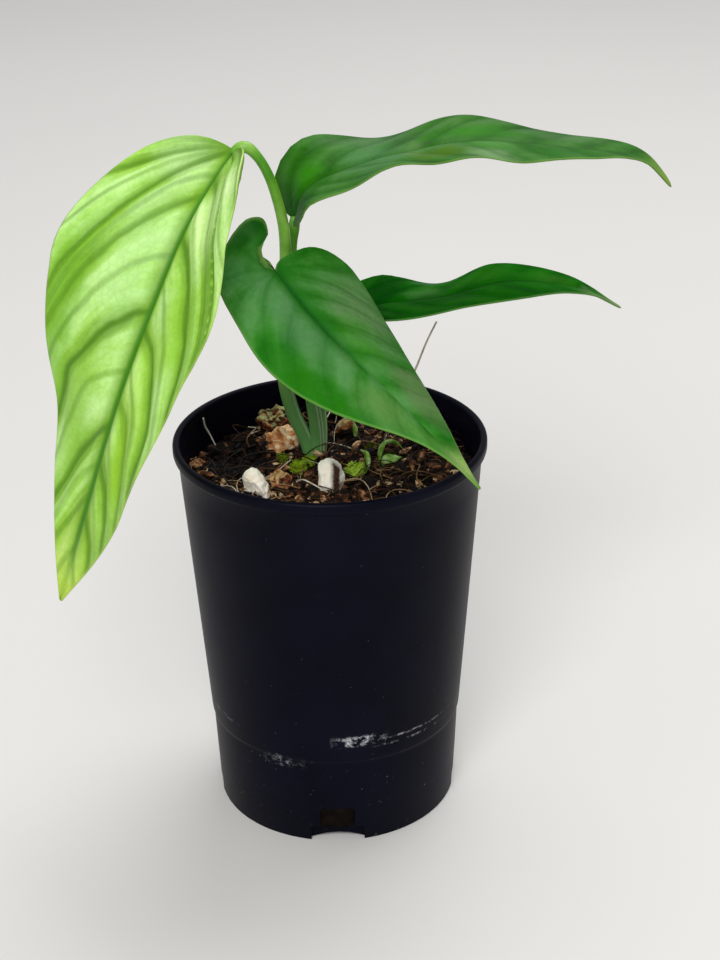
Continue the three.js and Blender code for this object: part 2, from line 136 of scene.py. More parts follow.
for name, lamp in lamps.items():
    light = bpy.data.lights.new(name, "AREA")
    light.shape = "DISK"
    light.size = lamp["size"]
    light.energy = lamp["power"]
    holder = bpy.data.objects.new(name, light)
    holder.location = lamp["at"]
    holder.rotation_euler = (aim - Vector(lamp["at"])).to_track_quat("-Z", "Y").to_euler()
    bpy.context.scene.collection.objects.link(holder)

world = bpy.data.worlds.new("white_surround")
bpy.context.scene.world = world
world.use_nodes = True
world.node_tree.nodes["Background"].inputs["Color"].default_value = linear(surround_colour)
world.node_tree.nodes["Background"].inputs["Strength"].default_value = surround_strength

matt_floor, tree, shader, place = new_finish("pale_matt_floor", {"Roughness": 0.75})
cloud = add(tree, "TexNoise", (place, 3, 2))
tint = add(tree, "ValToRGB", (cloud,), [(0.3, floor_colour), (0.7, floor_colour + 0x020202)])
add(tree, shader, {"Base Color": tint})
corners = [(-floor_half, -floor_half, 0), (floor_half, -floor_half, 0),
           (floor_half, floor_half, 0), (-floor_half, floor_half, 0)]
piece("floor", corners, [[0, 1, 2, 3]], [matt_floor])

# Pot: one thin shell injection-moulded in black polypropylene, with a rolled lip, a small step
# where pots nest, and four notched openings and round drain holes in its foot. Handling has left
# its satin face with a little dust and white scuffs round the step.
pot_height = 118
rim_radius = 46
rim_depth = 4
lip_foot_radius = 44.6
base_radius = 36.6
step_height = 29
step_radius = 37.9
step_width = 0.4
wall = 1.2
foot_height = 2.6
pad_radius = 14
pot_sides = 192
notch = {"width": 16, "height": 5, "slot_width": 10.5, "slot_height": 12, "depth": 6}
drain_radius = 3
drain_pitch_radius = 25
notch_count = 4
sharp_edge = math.radians(38)
lip_foot = pot_height - rim_depth
pot_colour = 0x070712
pot_haze = 0x0C0C1A
dust_colour = 0x7D766B
scuff_colour = 0xC9CBD0
# Each scuff: where it starts and ends in x, the height of its line at x = 0, the line's slope,
# half its height and how much it covers
scuffs = [(-2, 16, 36.4, 0.03, 2.3, 1.0), (8, 35, 36.4, -0.02, 0.5, 0.5),
          (10, 35, 34.2, -0.02, 0.5, 0.4), (-22, -9, 28, 0, 2.6, 0.5),
          (-40, -28, 35, 0, 0.8, 0.3)]
scuff_fade_in = 0.006
scuff_fade_out = 0.008


def outer_wall(z):
    """Outer radius of the pot at a height, below and above the step."""
    if z < step_height:
        return base_radius + (step_radius - base_radius) * z / step_height
    share = (lip_foot - z) / (lip_foot - step_height)
    return lip_foot_radius - (lip_foot_radius - step_radius - step_width) * share


def turned(profile, sides):
    """Vertices and faces of a closed shape turned about the Z axis from (radius, height) pairs."""
    vertices, rings, faces = [], [], []
    for radius, height in profile:
        count = sides if radius else 1
        rings.append([len(vertices) + (j if radius else 0) for j in range(sides)])
        for j in range(count):
            angle = 2 * math.pi * j / sides
            vertices.append((radius * math.cos(angle), radius * math.sin(angle), height))
    for low, high in zip(rings, rings[1:]):
        for j in range(sides):
            k = (j + 1) % sides
            loop = [low[j], low[k], high[k], high[j]]
            faces.append([v for i, v in enumerate(loop) if v not in loop[:i]])
    return np.array(vertices), faces


def prism(outline, start, end, angle):
    """A flat outline of (x, z) drawn out along Y from start to end, then turned about Z."""
    count = len(outline)
    spin = np.array(Matrix.Rotation(angle, 3, "Z"))
    vertices = [(x, y, z) for y in (start, end) for x, z in outline]
    faces = [list(range(count)), list(range(2 * count - 1, count - 1, -1))]
    faces += [[j, j + count, (j + 1) % count + count, (j + 1) % count] for j in range(count)]
    return np.array(vertices) @ spin.T, faces


def gathered(shapes):
    """Several (vertices, faces) shapes as one, and how many vertices each has."""
    vertices, faces, counts = [], [], []
    for points, loops in shapes:
        start = sum(counts)
        faces += [[start + v for v in loop] for loop in loops]
        vertices.append(points)
        counts.append(len(points))
    return np.concatenate(vertices), faces, counts


def settled(made):
    """Makes a piece's modifiers part of its mesh and takes them off."""
    shown = made.evaluated_get(bpy.context.evaluated_depsgraph_get())
    before = made.data
    mesh = bpy.data.meshes.new_from_object(shown)
    made.modifiers.clear()
    made.data = mesh
    bpy.data.meshes.remove(before)
    return made


lip_round = 1.05
lip_bend = [(rim_radius - lip_round + lip_round * math.cos(a),
             pot_height - lip_round + lip_round * math.sin(a)) for a in np.linspace(0, math.pi, 11)]
shell_profile = [
    (0, 0),
    (pad_radius - 1, 0),
    (pad_radius - 0.4, 0.3),
    (pad_radius + 1, foot_height),
    (base_radius - 3, foot_height),
    (base_radius - 1.5, 0.25),
    (base_radius - 1.2, 0),
    (base_radius - 0.4, 0),
    (base_radius - 0.1, 0.12),
    (base_radius, 0.4),
    (outer_wall(step_height - 1.2), step_height - 1.2),
    (outer_wall(step_height - 0.4), step_height - 0.4),
    (outer_wall(step_height) - 0.6 * step_width, step_height + 0.05),
    (outer_wall(step_height), step_height + 0.4),
    (outer_wall(step_height + 1), step_height + 1),
    *[(outer_wall(z), z) for z in np.linspace(step_height + 6, lip_foot - 0.4, 12)],
    (outer_wall(lip_foot) + 0.2, lip_foot + 0.05),
    (rim_radius - 0.6, lip_foot + 0.45),
    (rim_radius - 0.15, lip_foot + 0.85),
    (rim_radius, lip_foot + 1.4),
    *lip_bend,
    (outer_wall(lip_foot) - wall, lip_foot - 0.5),
    *[(outer_wall(z) - wall, z) for z in np.linspace(lip_foot - 8, step_height + 1, 10)],
    (outer_wall(step_height - 1) - wall, step_height - 1),
    (outer_wall(foot_height + 3) - wall, foot_height + 3),
    (outer_wall(foot_height + wall) - wall - 0.8, foot_height + wall),
    (pad_radius + 0.4, foot_height + wall),
    (pad_radius - 1.6, wall),
    (0, wall),
]
tee = []
for side in (1, -1):
    half, slot = notch["width"] / 2, notch["slot_width"] / 2
    corner = [(half, -1), (half, notch["height"] - 0.8), (half - 0.8, notch["height"]),
              (slot, notch["height"]), (slot, notch["slot_height"] - 1),
              (slot - 1, notch["slot_height"])]
    tee += [(side * x, z) for x, z in corner[::side]]
drain = [(drain_radius * math.cos(a), drain_radius * math.sin(a))
         for a in np.linspace(0, 2 * math.pi, 32, endpoint=False)]
reach = base_radius + 0.6
cuts = []
for i in range(notch_count):
    angle = 2 * math.pi * i / notch_count
    cuts.append(prism(tee, -reach - notch["depth"] / 2, -reach + notch["depth"] / 2, angle))
    points, loops = prism(drain, -8, 8, 0)
    upright = np.stack([points[:, 0], points[:, 2] - drain_pitch_radius, -points[:, 1]], 1)
    spin = np.array(Matrix.Rotation(angle + math.pi / 4, 3, "Z"))
    cuts.append((upright @ spin.T, loops))
vertices, faces, _ = gathered(cuts)
cutter = piece("pot_cutter", vertices, faces, [])

plastic, tree, shader, place = new_finish("moulded_black_polypropylene",
                                          {"IOR": 1.49, "Specular IOR Level": 0.045})
xyz = add(tree, "SeparateXYZ", (place,)).node.outputs
grime = add(tree, "TexNoise", (place, 1000 / 24, 5))
body = add(tree, "ValToRGB", (grime,), [(0.35, pot_colour), (0.7, pot_haze)])
# Dust: specks about half a millimetre wide, more of them towards the foot
speck = add(tree, "TexNoise", (place, 1000 / 1.1, 3, 0.6))
near_foot = add(tree, "MapRange", (xyz["Z"], 0.07, 0.0, 0.74, 0.69))
speck_gap = add(tree, "Math SUBTRACT", (speck, near_foot))
dust = add(tree, "MapRange", (speck_gap, 0, 0.1, 0, 0.4))
streak = add(tree, "TexNoise",
             {"Vector": place, "Scale": 1000 / 2.6, "Detail": 8, "Roughness": 0.75,
              "Distortion": 0.6})
worn = add(tree, "MapRange", (streak, 0.5, 0.62))
in_front = add(tree, "Math LESS_THAN", (xyz["Y"], 0.0))
cover = dust
for start, end, height, slope, half, most in scuffs:
    level = add(tree, "Math MULTIPLY_ADD", (xyz["X"], -slope, xyz["Z"]))
    off = add(tree, "Math SUBTRACT", (level, height / 1000))
    away = add(tree, "Math ABSOLUTE", (off,))
    band = add(tree, "MapRange", (away, half / 3000, half / 1000, most, 0),
               interpolation_type="SMOOTHSTEP")
    left, right = start / 1000, end / 1000
    starts = add(tree, "MapRange", (xyz["X"], left, left + scuff_fade_in))
    ends = add(tree, "MapRange", (xyz["X"], right, right - scuff_fade_out))
    for mask in (starts, ends, in_front, worn):
        band = add(tree, "Math MULTIPLY", (band, mask))
    cover = add(tree, "Math MAXIMUM", (cover, band))
dusty = add(tree, "Mix", (dust, body, linear(dust_colour)), data_type="RGBA")
colour = add(tree, "Mix", (cover, dusty, linear(scuff_colour)), data_type="RGBA")
satin = add(tree, "MapRange", (grime, 0, 1, 0.33, 0.47))
dull = add(tree, "Math MULTIPLY_ADD", (cover, 0.4, satin))
peel = add(tree, "TexNoise", (place, 1000 / 0.9, 2))
grain = add(tree, "Math MULTIPLY_ADD", (cover, 0.6, peel))
bump = add(tree, "Bump", {"Height": grain, "Strength": 0.12, "Distance": 0.0002})
add(tree, shader, {"Base Color": colour, "Roughness": dull, "Normal": bump})

vertices, faces = turned(shell_profile, pot_sides)
pot = piece("pot_shell", vertices, faces, [plastic])
cut = pot.modifiers.new("openings", "BOOLEAN")
cut.operation = "DIFFERENCE"
cut.solver = "EXACT"
cut.object = cutter
settled(pot)
bpy.data.objects.remove(cutter)
pot.data.polygons.foreach_set("use_smooth", [True] * len(pot.data.polygons))
pot.data.set_sharp_from_angle(angle=sharp_edge)
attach(pot, "root")
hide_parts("pot")

# Potting mix: composted pine bark, coir and a little grit, filled loose to 13 mm below the lip.
# Under the loose pieces lies one dark bed, uneven, with a hollow at the left and a small heap
# against the wall at the back right. It stays a hair clear of the pot.
mix_level = 105
gap = 0.35
bed_lift = 0.2
bed_sides = 180
bed_rings = 52
# Each grain of the uneven top: its width, its height and its seed
bed_grains = [(9, 0.9, 11), (4.2, 0.8, 12), (1.9, 0.45, 13), (0.9, 0.25, 14)]
# Each hollow: its place, its radius and its depth, which is negative for a heap
hollows = [(-28.5, 12, 8.5, 7), (3, 21, 5, 3.5), (35, 24, 6, -6), (-9, -1, 4, 2), (10, -12, 5, 2)]
mix_colours = [(0.3, 0x050302), (0.5, 0x120B07), (0.66, 0x24160D), (0.85, 0x4A2E1C)]


def rough(x, y, width, seed):
    """Smooth seeded noise from -1 to 1 whose lumps are about width mm across."""
    table = np.random.default_rng(seed).uniform(-1, 1, (64, 64))
    u, v = x / width + 32, y / width + 32
    i, j = np.floor(u).astype(int), np.floor(v).astype(int)
    f, g = u - i, v - j
    f, g = f * f * (3 - 2 * f), g * g * (3 - 2 * g)
    near = table[i % 64, j % 64] * (1 - f) + table[(i + 1) % 64, j % 64] * f
    far = table[i % 64, (j + 1) % 64] * (1 - f) + table[(i + 1) % 64, (j + 1) % 64] * f
    return near * (1 - g) + far * g


def bed_height(x, y):
    """Height of the loose surface of the mix."""
    z = mix_level + bed_lift + 0 * x
    for width, height, seed in bed_grains:
        z = z + height * rough(x, y, width, seed)
    for cx, cy, radius, depth in hollows:
        z = z - depth * np.exp(-((x - cx) ** 2 + (y - cy) ** 2) / radius ** 2)
    return z


inner = outer_wall(mix_level) - wall - gap
bed_profile = [
    (0, wall + gap),
    (pad_radius - 2, wall + gap),
    (pad_radius, foot_height + wall + gap),
    (outer_wall(4) - wall - gap, foot_height + wall + gap),
    (outer_wall(step_height - 1) - wall - gap, step_height - 1),
    (outer_wall(step_height + 1) - wall - gap, step_height + 1),
    (inner, mix_level - 4),
    *[(inner * (1 - i / bed_rings), mix_level) for i in range(bed_rings)],
    (0, mix_level),
]
vertices, faces = turned(bed_profile, bed_sides)
top = vertices[:, 2] >= mix_level
vertices[top, 2] = bed_height(vertices[top, 0], vertices[top, 1])

dark_bed, tree, shader, place = new_finish("damp_composted_bark",
                                           {"IOR": 1.4, "Specular IOR Level": 0.1})
crumb = add(tree, "TexNoise", (place, 1000 / 2.4, 6, 0.7))
shade = add(tree, "ValToRGB", (crumb,), mix_colours)
damp = add(tree, "MapRange", (crumb, 0, 1, 0.7, 0.95))
bump = add(tree, "Bump", {"Height": crumb, "Strength": 0.6, "Distance": 0.0008})
add(tree, shader, {"Base Color": shade, "Roughness": damp, "Normal": bump})
bed = piece("potting_mix_bed", vertices, faces, [dark_bed])
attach(bed, "root")
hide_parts("potting_mix")

# Bark chips: broken pieces of pine bark that lie on the bed, tan to rust-brown where they are
# fresh, nearly black where they are damp, and made nearly black by painted shade in the hollow at
# the left. The large ones are the chips of the solid mix; the small ones lie between them, a few at
# the places where pale or reddish ones show.
chip_count = 54
chip_thickness = 3.4
chip_spread = 38
chip_clearance = 6.2
chip_pits = 0.6
chip_cuts = 22
golden_angle = 2.39996
small_chip_count = 110
small_chip_spread = 41
full_turn = 6.3  # radians, rounded
chip_edge = math.radians(50)
# Each pale chip: its place, its longest side and its tone
pale_chips = [(-39.5, 8, 8, 0.72), (-37, -1, 8, 0.6), (-35.5, 19, 6, 0.5), (-38.5, 15, 7, 0.62),
              (-3.8, 10.6, 5, 0.85), (7.5, 20, 4.5, 0.8), (12.5, 19, 4, 0.75),
              (22.5, 12.5, 4.5, 0.75), (27, 8, 6, 0.5), (31, -1, 6, 0.45), (24, 0, 5, 0.55),
              (19, -8, 6, 0.4), (9, -18, 6, 0.45), (-9, -19, 5, 0.65), (36, 4, 5, 0.5),
              (-20.5, 1, 5, 0.6), (-12, 11, 5, 0.9), (36.5, -4, 4, 0.9), (-30, -12, 6, 0.4)]
bark_stops = [(0.0, 0x070403), (0.3, 0x1C0E08), (0.5, 0x432415), (0.68, 0x7C4E30),
              (0.85, 0xB98A60), (1.0, 0xE2C49C)]
hollow_shade_middle = (-0.028, 0.012, 0)
hollow_shade_reach = 0.0125


def lump(at, size, lean, seed, cuts=14, detail=3, pits=0.0, pit_width=2.0):
    """A broken lump: a ball cut back by flat faces, sized, pitted, leaned and set in place."""
    ball = bmesh.new()
    bmesh.ops.create_icosphere(ball, subdivisions=detail, radius=0.5)
    points = np.array([v.co for v in ball.verts])
    faces = [[v.index for v in face.verts] for face in ball.faces]
    ball.free()
    rng = np.random.default_rng(seed)
    for _ in range(cuts):
        way = rng.normal(size=3)
        way /= np.linalg.norm(way)
        over = np.maximum(points @ way - rng.uniform(0.2, 0.44), 0)
        points -= over[:, None] * way
    points *= size
    if pits:
        shift = Vector((seed, 0, 0))
        depth = [noise.fractal(Vector(p) / pit_width + shift, 0.8, 2.1, 4) for p in points]
        away = points / np.linalg.norm(points, axis=1, keepdims=True)
        points += pits * np.array(depth)[:, None] * away
    spin = Matrix.Rotation(lean[2], 3, "Z") @ Matrix.Rotation(lean[1], 3, "Y")
    spin = np.array(spin @ Matrix.Rotation(lean[0], 3, "X"))
    return points @ spin.T + np.array(at), faces


def toned(made, counts, tones):
    """Gives every vertex of each gathered shape that shape's tone: 0 is dark and 1 is pale."""
    tone = made.data.attributes.new("tone", "FLOAT", "POINT")
    tone.data.foreach_set("value", np.repeat(tones, counts))


random_state = 7


def draw():
    """The next number from 0 to 1 in the row that also places the chips of the solid mix."""
    global random_state
    random_state = (random_state * 1664525 + 1013904223) % 2 ** 32
    return random_state / 2 ** 32


chips = []
for i in range(chip_count):
    radius = chip_spread * math.sqrt((i + 0.5) / chip_count)
    angle = golden_angle * i + 0.5 * draw()
    width = 2.2 + draw() + 3 + draw()
    size = (width * (1.2 + 0.5 * draw()), width * (0.7 + 0.2 * draw()), chip_thickness)
    tip = (0.7 * (draw() - 0.5), 0.7 * (draw() - 0.5), full_turn * draw())
    out = min(radius, inner - chip_clearance)
    x, y = out * math.cos(angle), out * math.sin(angle)
    sunk = bed_height(x, y) - mix_level
    at = (x, y, mix_level - 0.4 + draw() + sunk)
    chips.append(lump(at, size, tip, seed=100 + i, cuts=chip_cuts, pits=chip_pits,
                      pit_width=1.8))
tones = list(np.random.default_rng(5).beta(1.1, 2.0, chip_count) * 0.75)
strewn = np.random.default_rng(17)
for i in range(small_chip_count):
    radius = small_chip_spread * math.sqrt(strewn.uniform())
    angle = strewn.uniform(0, full_turn)
    x, y = radius * math.cos(angle), radius * math.sin(angle)
    length = strewn.uniform(2.2, 6.5) * (0.5 if bed_height(x, y) < mix_level - 2 else 1)
    size = (length, length * strewn.uniform(0.4, 0.8), length * strewn.uniform(0.25, 0.6))
    z = bed_height(x, y) + strewn.uniform(0.2, 1.6)
    chips.append(lump((x, y, z), size, strewn.uniform((-0.7, -0.7, 0), (0.7, 0.7, full_turn)),
                      seed=300 + i, cuts=chip_cuts, detail=2, pits=0.4, pit_width=1.3))
    tones.append(0.75 * strewn.beta(1.0, 2.4))
for i, (x, y, length, tone) in enumerate(pale_chips):
    size = (length, length * 0.6, length * 0.45)
    chips.append(lump((x, y, bed_height(x, y) + 1.5), size,
                      strewn.uniform((-0.6, -0.6, 0), (0.6, 0.6, full_turn)), seed=500 + i,
                      pits=0.4, pit_width=1.5))
    tones.append(tone)


def shaded_in_hollow(tree, place, tone):
    """The tone of bark or fibre, made nearly black by painted shade in the hollow at the left."""
    apart = add(tree, "VectorMath SUBTRACT", (place, hollow_shade_middle))
    spread = add(tree, "VectorMath MULTIPLY", (apart, (1, 0.75, 0)))
    reach = add(tree, "VectorMath LENGTH", (spread,), out="Value")
    hollow_shade = add(tree, "MapRange", (reach, 0.5 * hollow_shade_reach, hollow_shade_reach, 0.7, 0),
              interpolation_type="SMOOTHSTEP")
    return add(tree, "Math SUBTRACT", (tone, hollow_shade))


bark, tree, shader, place = new_finish("broken_pine_bark", {"IOR": 1.45, "Specular IOR Level": 0.2})
layers = add(tree, "TexNoise",
             {"Vector": place, "Scale": 1000 / 2.6, "Detail": 7, "Roughness": 0.68,
              "Distortion": 0.8})
tone = add(tree, "Attribute", out="Fac", attribute_name="tone")
lit = add(tree, "Math MULTIPLY_ADD", (layers, 2.2, tone))
dried = add(tree, "Math SUBTRACT", (lit, 1.08))
# Painted shade: the bark is made nearly black in the hollow at the left
level = shaded_in_hollow(tree, place, dried)
shade = add(tree, "ValToRGB", (level,), bark_stops)
dry = add(tree, "MapRange", (level, 0, 1, 0.62, 0.9))
bump = add(tree, "Bump", {"Height": layers, "Strength": 0.9, "Distance": 0.001})
add(tree, shader, {"Base Color": shade, "Roughness": dry, "Normal": bump})
vertices, faces, counts = gathered(chips)
beyond = np.maximum(1, np.hypot(vertices[:, 0], vertices[:, 1]) / inner)
vertices[:, :2] /= beyond[:, None]
chip_piece = piece("bark_chips", vertices, faces, [bark])
toned(chip_piece, counts, tones)
chip_piece.data.set_sharp_from_angle(angle=chip_edge)
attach(chip_piece, "root")

# Crumbs of bark and grit between the chips, one to three millimetres wide, that lie scattered over
# the whole bed, most of them dark and a few pale.
crumb_density = 170000
crumb_width = 2.1
crumb_shapes = 5


def top_of_bed(name, rings, raised):
    """The open surface of the mix as a mesh of its own, for pieces to be scattered on."""
    vertices, faces = turned([(inner * (1 - i / rings) - 0.6, 0) for i in range(rings)], 60)
    vertices[:, 2] = bed_height(vertices[:, 0], vertices[:, 1]) + raised
    return piece(name, vertices, faces, [])


def sockets(tree, inputs):
    """Names the inputs of a scatter tree after the surface it works on, and gives its outputs."""
    tree.interface.new_socket("Surface", in_out="INPUT", socket_type="NodeSocketGeometry")
    for name, kind in inputs.items():
        tree.interface.new_socket(name, in_out="INPUT", socket_type="NodeSocket" + kind)
    tree.interface.new_socket("Pieces", in_out="OUTPUT", socket_type="NodeSocketGeometry")
    return tree.nodes.new("NodeGroupInput").outputs


def scatter(surface, tree, values):
    """Runs a scatter tree on a surface and leaves the plain mesh that it makes."""
    made = surface.modifiers.new("scatter", "NODES")
    made.node_group = tree
    for item in tree.interface.items_tree:
        if item.name in values:
            made[item.identifier] = values[item.name]
    return settled(surface)


def strewn_tree(name, size_name, shape_count, new_shape, turn, growth, darkness, material):
    """A tree that strews turned and scaled copies of a few shapes over a surface, gives each a
    tone, and presses what reaches past the wall of the pot back against it."""
    tree = bpy.data.node_groups.new(name, "GeometryNodeTree")
    given = sockets(tree, {"Per square metre": "Float", size_name: "Float", "Seed": "Int",
                           "Bed radius": "Float"})
    shapes = tree.nodes.new("GeometryNodeJoinGeometry")
    for number in range(shape_count):
        shape = add(tree, "GeometryNodeGeometryToInstance", (new_shape(tree, number),))
        tree.links.new(shape, shapes.inputs[0])

    chances = []
    for kind, low, high in (("INT", 0, shape_count - 1), ("FLOAT_VECTOR", *turn),
                            ("FLOAT", *growth), ("FLOAT", 0.0, 1.0)):
        chances.append(add(tree, "FunctionNodeRandomValue", {
            "Min": low, "Max": high, "Seed": len(chances) + 1}, data_type=kind))
    pick, spin, grow, shade = chances
    spots = add(tree, "GeometryNodeDistributePointsOnFaces",
                {"Mesh": given["Surface"], "Density": given["Per square metre"],
                 "Seed": given["Seed"]}, distribute_method="RANDOM")
    scale = add(tree, "Math MULTIPLY", (grow, given[size_name]))
    laid = add(tree, "GeometryNodeInstanceOnPoints",
               {"Points": spots, "Instance": shapes.outputs[0], "Pick Instance": True,
                "Instance Index": pick, "Rotation": spin, "Scale": scale})
    tone = add(tree, "Math POWER", (shade, darkness))
    marked = add(tree, "GeometryNodeStoreNamedAttribute",
                 {"Geometry": laid, "Name": "tone", "Value": tone}, data_type="FLOAT",
                 domain="INSTANCE")
    real = add(tree, "GeometryNodeRealizeInstances", {"Geometry": marked})
    place = add(tree, "GeometryNodeInputPosition")
    flat = add(tree, "VectorMath MULTIPLY", (place, (1, 1, 0)))
    out = add(tree, "VectorMath LENGTH", (flat,), out="Value")
    share = add(tree, "Math DIVIDE", (given["Bed radius"], out))
    less = add(tree, "Math MINIMUM", (share, 1))
    pressed = add(tree, "VectorMath MULTIPLY", (place, add(tree, "CombineXYZ", (less, less, 1))))
    kept = add(tree, "GeometryNodeSetPosition", {"Geometry": real, "Position": pressed})
    add(tree, "NodeGroupOutput",
        (add(tree, "GeometryNodeSetMaterial", {"Geometry": kept, "Material": material}),))
    return tree


def crumb_block(tree, number):
    """A small block pushed out of shape."""
    block = add(tree, "GeometryNodeMeshCube",
                {"Size": (1, 0.75 - 0.15 * (number % 3), 0.5), "Vertices X": 3, "Vertices Y": 3,
                 "Vertices Z": 3})
    push = add(tree, "TexNoise", {"W": 3.7 * number, "Scale": 1.7, "Detail": 1}, out="Color",
               noise_dimensions="4D")
    offset = add(tree, "VectorMath SUBTRACT", (push, (0.5, 0.5, 0.5)))
    return add(tree, "GeometryNodeSetPosition", {"Geometry": block, "Offset": offset})


crumbs = strewn_tree("bark_crumbs", "Crumb width", crumb_shapes, crumb_block,
                     ((0, 0, 0), (full_turn, full_turn, full_turn)), (0.45, 1.5), 1.8, bark)
crumb_piece = scatter(top_of_bed("bark_crumbs", 12, -0.2), crumbs,
                      {"Per square metre": crumb_density, "Crumb width": crumb_width / 1000,
                       "Seed": 3, "Bed radius": inner / 1000})
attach(crumb_piece, "root")

# Coir: the wiry fibres of coconut husk that lie across the mix in curls, rust-brown, a few of
# them tan. Most are 5 to 17 mm long and 0.1 to 0.6 mm thick.
fibre_density = 80000
fibre_length = 14
fibre_shapes = 9
coir_stops = [(0.0, 0x120A05), (0.35, 0x40240E), (0.65, 0x7E5830), (0.88, 0xB4966A),
              (1.0, 0xDCD2C4)]
coir, tree, shader, place = new_finish("coir_fibre", {"IOR": 1.5, "Specular IOR Level": 0.25})
tone = add(tree, "Attribute", out="Fac", attribute_name="tone")
stain = add(tree, "TexNoise", (place, 1000 / 4, 3))
lit = add(tree, "Math MULTIPLY_ADD", (stain, 0.5, tone))
dried = add(tree, "Math SUBTRACT", (lit, 0.25))
# Painted shade: the fibres are made nearly black in the hollow at the left
level = shaded_in_hollow(tree, place, dried)
shade = add(tree, "ValToRGB", (level,), coir_stops)
dry = add(tree, "MapRange", (stain, 0, 1, 0.5, 0.75))
add(tree, shader, {"Base Color": shade, "Roughness": dry})
bends = np.random.default_rng(21)


def curled_fibre(tree, number):
    """A thin strand in a curl of its own."""
    side, back = bends.uniform(-0.8, 0.8), bends.uniform(-0.7, 0.7)
    rise = bends.uniform(0.05, 0.3)
    line = add(tree, "GeometryNodeCurvePrimitiveBezierSegment",
               {"Start": (-0.5, 0, 0), "Start Handle": (-0.2, side, rise),
                "End Handle": (0.2, back, rise * 0.6), "End": (0.5, 0, -0.05), "Resolution": 9})
    ring = add(tree, "GeometryNodeCurvePrimitiveCircle",
               {"Resolution": 4, "Radius": bends.uniform(0.006, 0.017)})
    return add(tree, "GeometryNodeCurveToMesh",
               {"Curve": line, "Profile Curve": ring, "Fill Caps": True})


fibres = strewn_tree("coir_fibres", "Fibre length", fibre_shapes, curled_fibre,
                     ((-0.5, -0.28, 0), (0.5, 0.28, full_turn)), (0.35, 1.25), 2.2, coir)
fibre_piece = scatter(top_of_bed("coir_fibres", 12, 0.9), fibres,
                      {"Per square metre": fibre_density, "Fibre length": fibre_length / 1000,
                       "Seed": 8, "Bed radius": inner / 1000})
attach(fibre_piece, "root")

# Stones and bark nuggets that stand out of the mix: two white pumice stones at the front, one
# with a brown stain, three tan bark nuggets left of the stem and one pale chip right of it.
# Each stone: its place, its size, its lean, and for bark its tone and how much algae it carries
stones = {
    "pumice_left": ((-21.5, -12.4, 107.2), (7, 7.6, 12), (-0.35, -0.3, 0.2), 0, 0),
    "pumice_front": ((-0.2, -8.6, 107.8), (8.6, 7.8, 12), (-0.3, 0.1, 0.5), 0, 0),
    "bark_nugget_back": ((-17.2, 30.4, 110.2), (10.5, 8.5, 9.5), (0.3, 0.25, 0.5), 0.16, 0.95),
    "bark_nugget_orange": ((-15.5, 17.2, 107.8), (13, 8.8, 9), (0.2, -0.3, 0.3), 0.6, 0.1),
    "bark_nugget_front": ((-14.8, -7.2, 107), (8.6, 8, 8), (-0.2, 0.3, 0.9), 0.42, 0.5),
    "bark_chip_pale": ((3.8, 29.4, 107.4), (6.4, 5, 7.4), (0.1, 0.2, 0.2), 0.5, 0.95),
}
pumice_colours = [(0.24, 0xDAC4A6), (0.36, 0xFFEEDA), (0.6, 0xFFFAEE)]
stain_colour = 0x3A1E08
algae_colour = 0xA9AC74
nugget_stops = [(0.0, 0x180A04), (0.24, 0x502410), (0.45, 0xA0562C), (0.65, 0xD48C56),
                (0.85, 0xE8C094), (1.0, 0xF4E0C6)]

pumice, tree, shader, place = new_finish("washed_pumice", {"IOR": 1.5, "Roughness": 0.85})
froth = add(tree, "TexNoise", (place, 1000 / 2.2, 6, 0.7))
white = add(tree, "ValToRGB", (froth,), pumice_colours)
# The stain runs down the front of the front stone, about 2.5 mm wide
where = add(tree, "SeparateXYZ", (place,)).node.outputs
off = add(tree, "Math SUBTRACT", (where["X"], 0.0012))
wander = add(tree, "Math MULTIPLY_ADD", (froth, 0.002, off))
away = add(tree, "Math SUBTRACT", (wander, 0.0015))
distance = add(tree, "Math ABSOLUTE", (away,))
stain = add(tree, "MapRange", (distance, 0.0007, 0.0019, 1.0, 0))
front = add(tree, "MapRange", (where["Y"], -0.0075, -0.0095))
stain = add(tree, "Math MULTIPLY", (stain, front))
soiled = add(tree, "Mix", (stain, white, linear(stain_colour)), data_type="RGBA")
cells = add(tree, "TexVoronoi", {"Vector": place, "Scale": 1000 / 0.9})
bump = add(tree, "Bump", {"Height": cells, "Strength": 0.25, "Distance": 0.0004})
add(tree, shader, {"Base Color": soiled, "Normal": bump})

nugget_bark, tree, shader, place = new_finish("weathered_bark_nugget",
                                              {"IOR": 1.45, "Roughness": 0.85})
layers = add(tree, "TexNoise",
             {"Vector": place, "Scale": 1000 / 3.5, "Detail": 8, "Roughness": 0.65,
              "Distortion": 1.0})
tone = add(tree, "Attribute", out="Fac", attribute_name="tone")
lit = add(tree, "Math MULTIPLY_ADD", (layers, 2.4, tone))
level = add(tree, "Math SUBTRACT", (lit, 1.1))
shade = add(tree, "ValToRGB", (level,), nugget_stops)
# Algae make the tops of the nuggets pale green
facing = add(tree, "SeparateXYZ", (add(tree, "NewGeometry", out="Normal"),)).node.outputs
growth = add(tree, "Math MULTIPLY", (facing["Z"], layers))
cover = add(tree, "Attribute", out="Fac", attribute_name="algae")
green = add(tree, "MapRange", (growth, 0.22, 0.42, 0, cover))
mossed = add(tree, "Mix", (green, shade, linear(algae_colour)), data_type="RGBA")
bump = add(tree, "Bump", {"Height": layers, "Strength": 0.7, "Distance": 0.001})
add(tree, shader, {"Base Color": mossed, "Normal": bump})

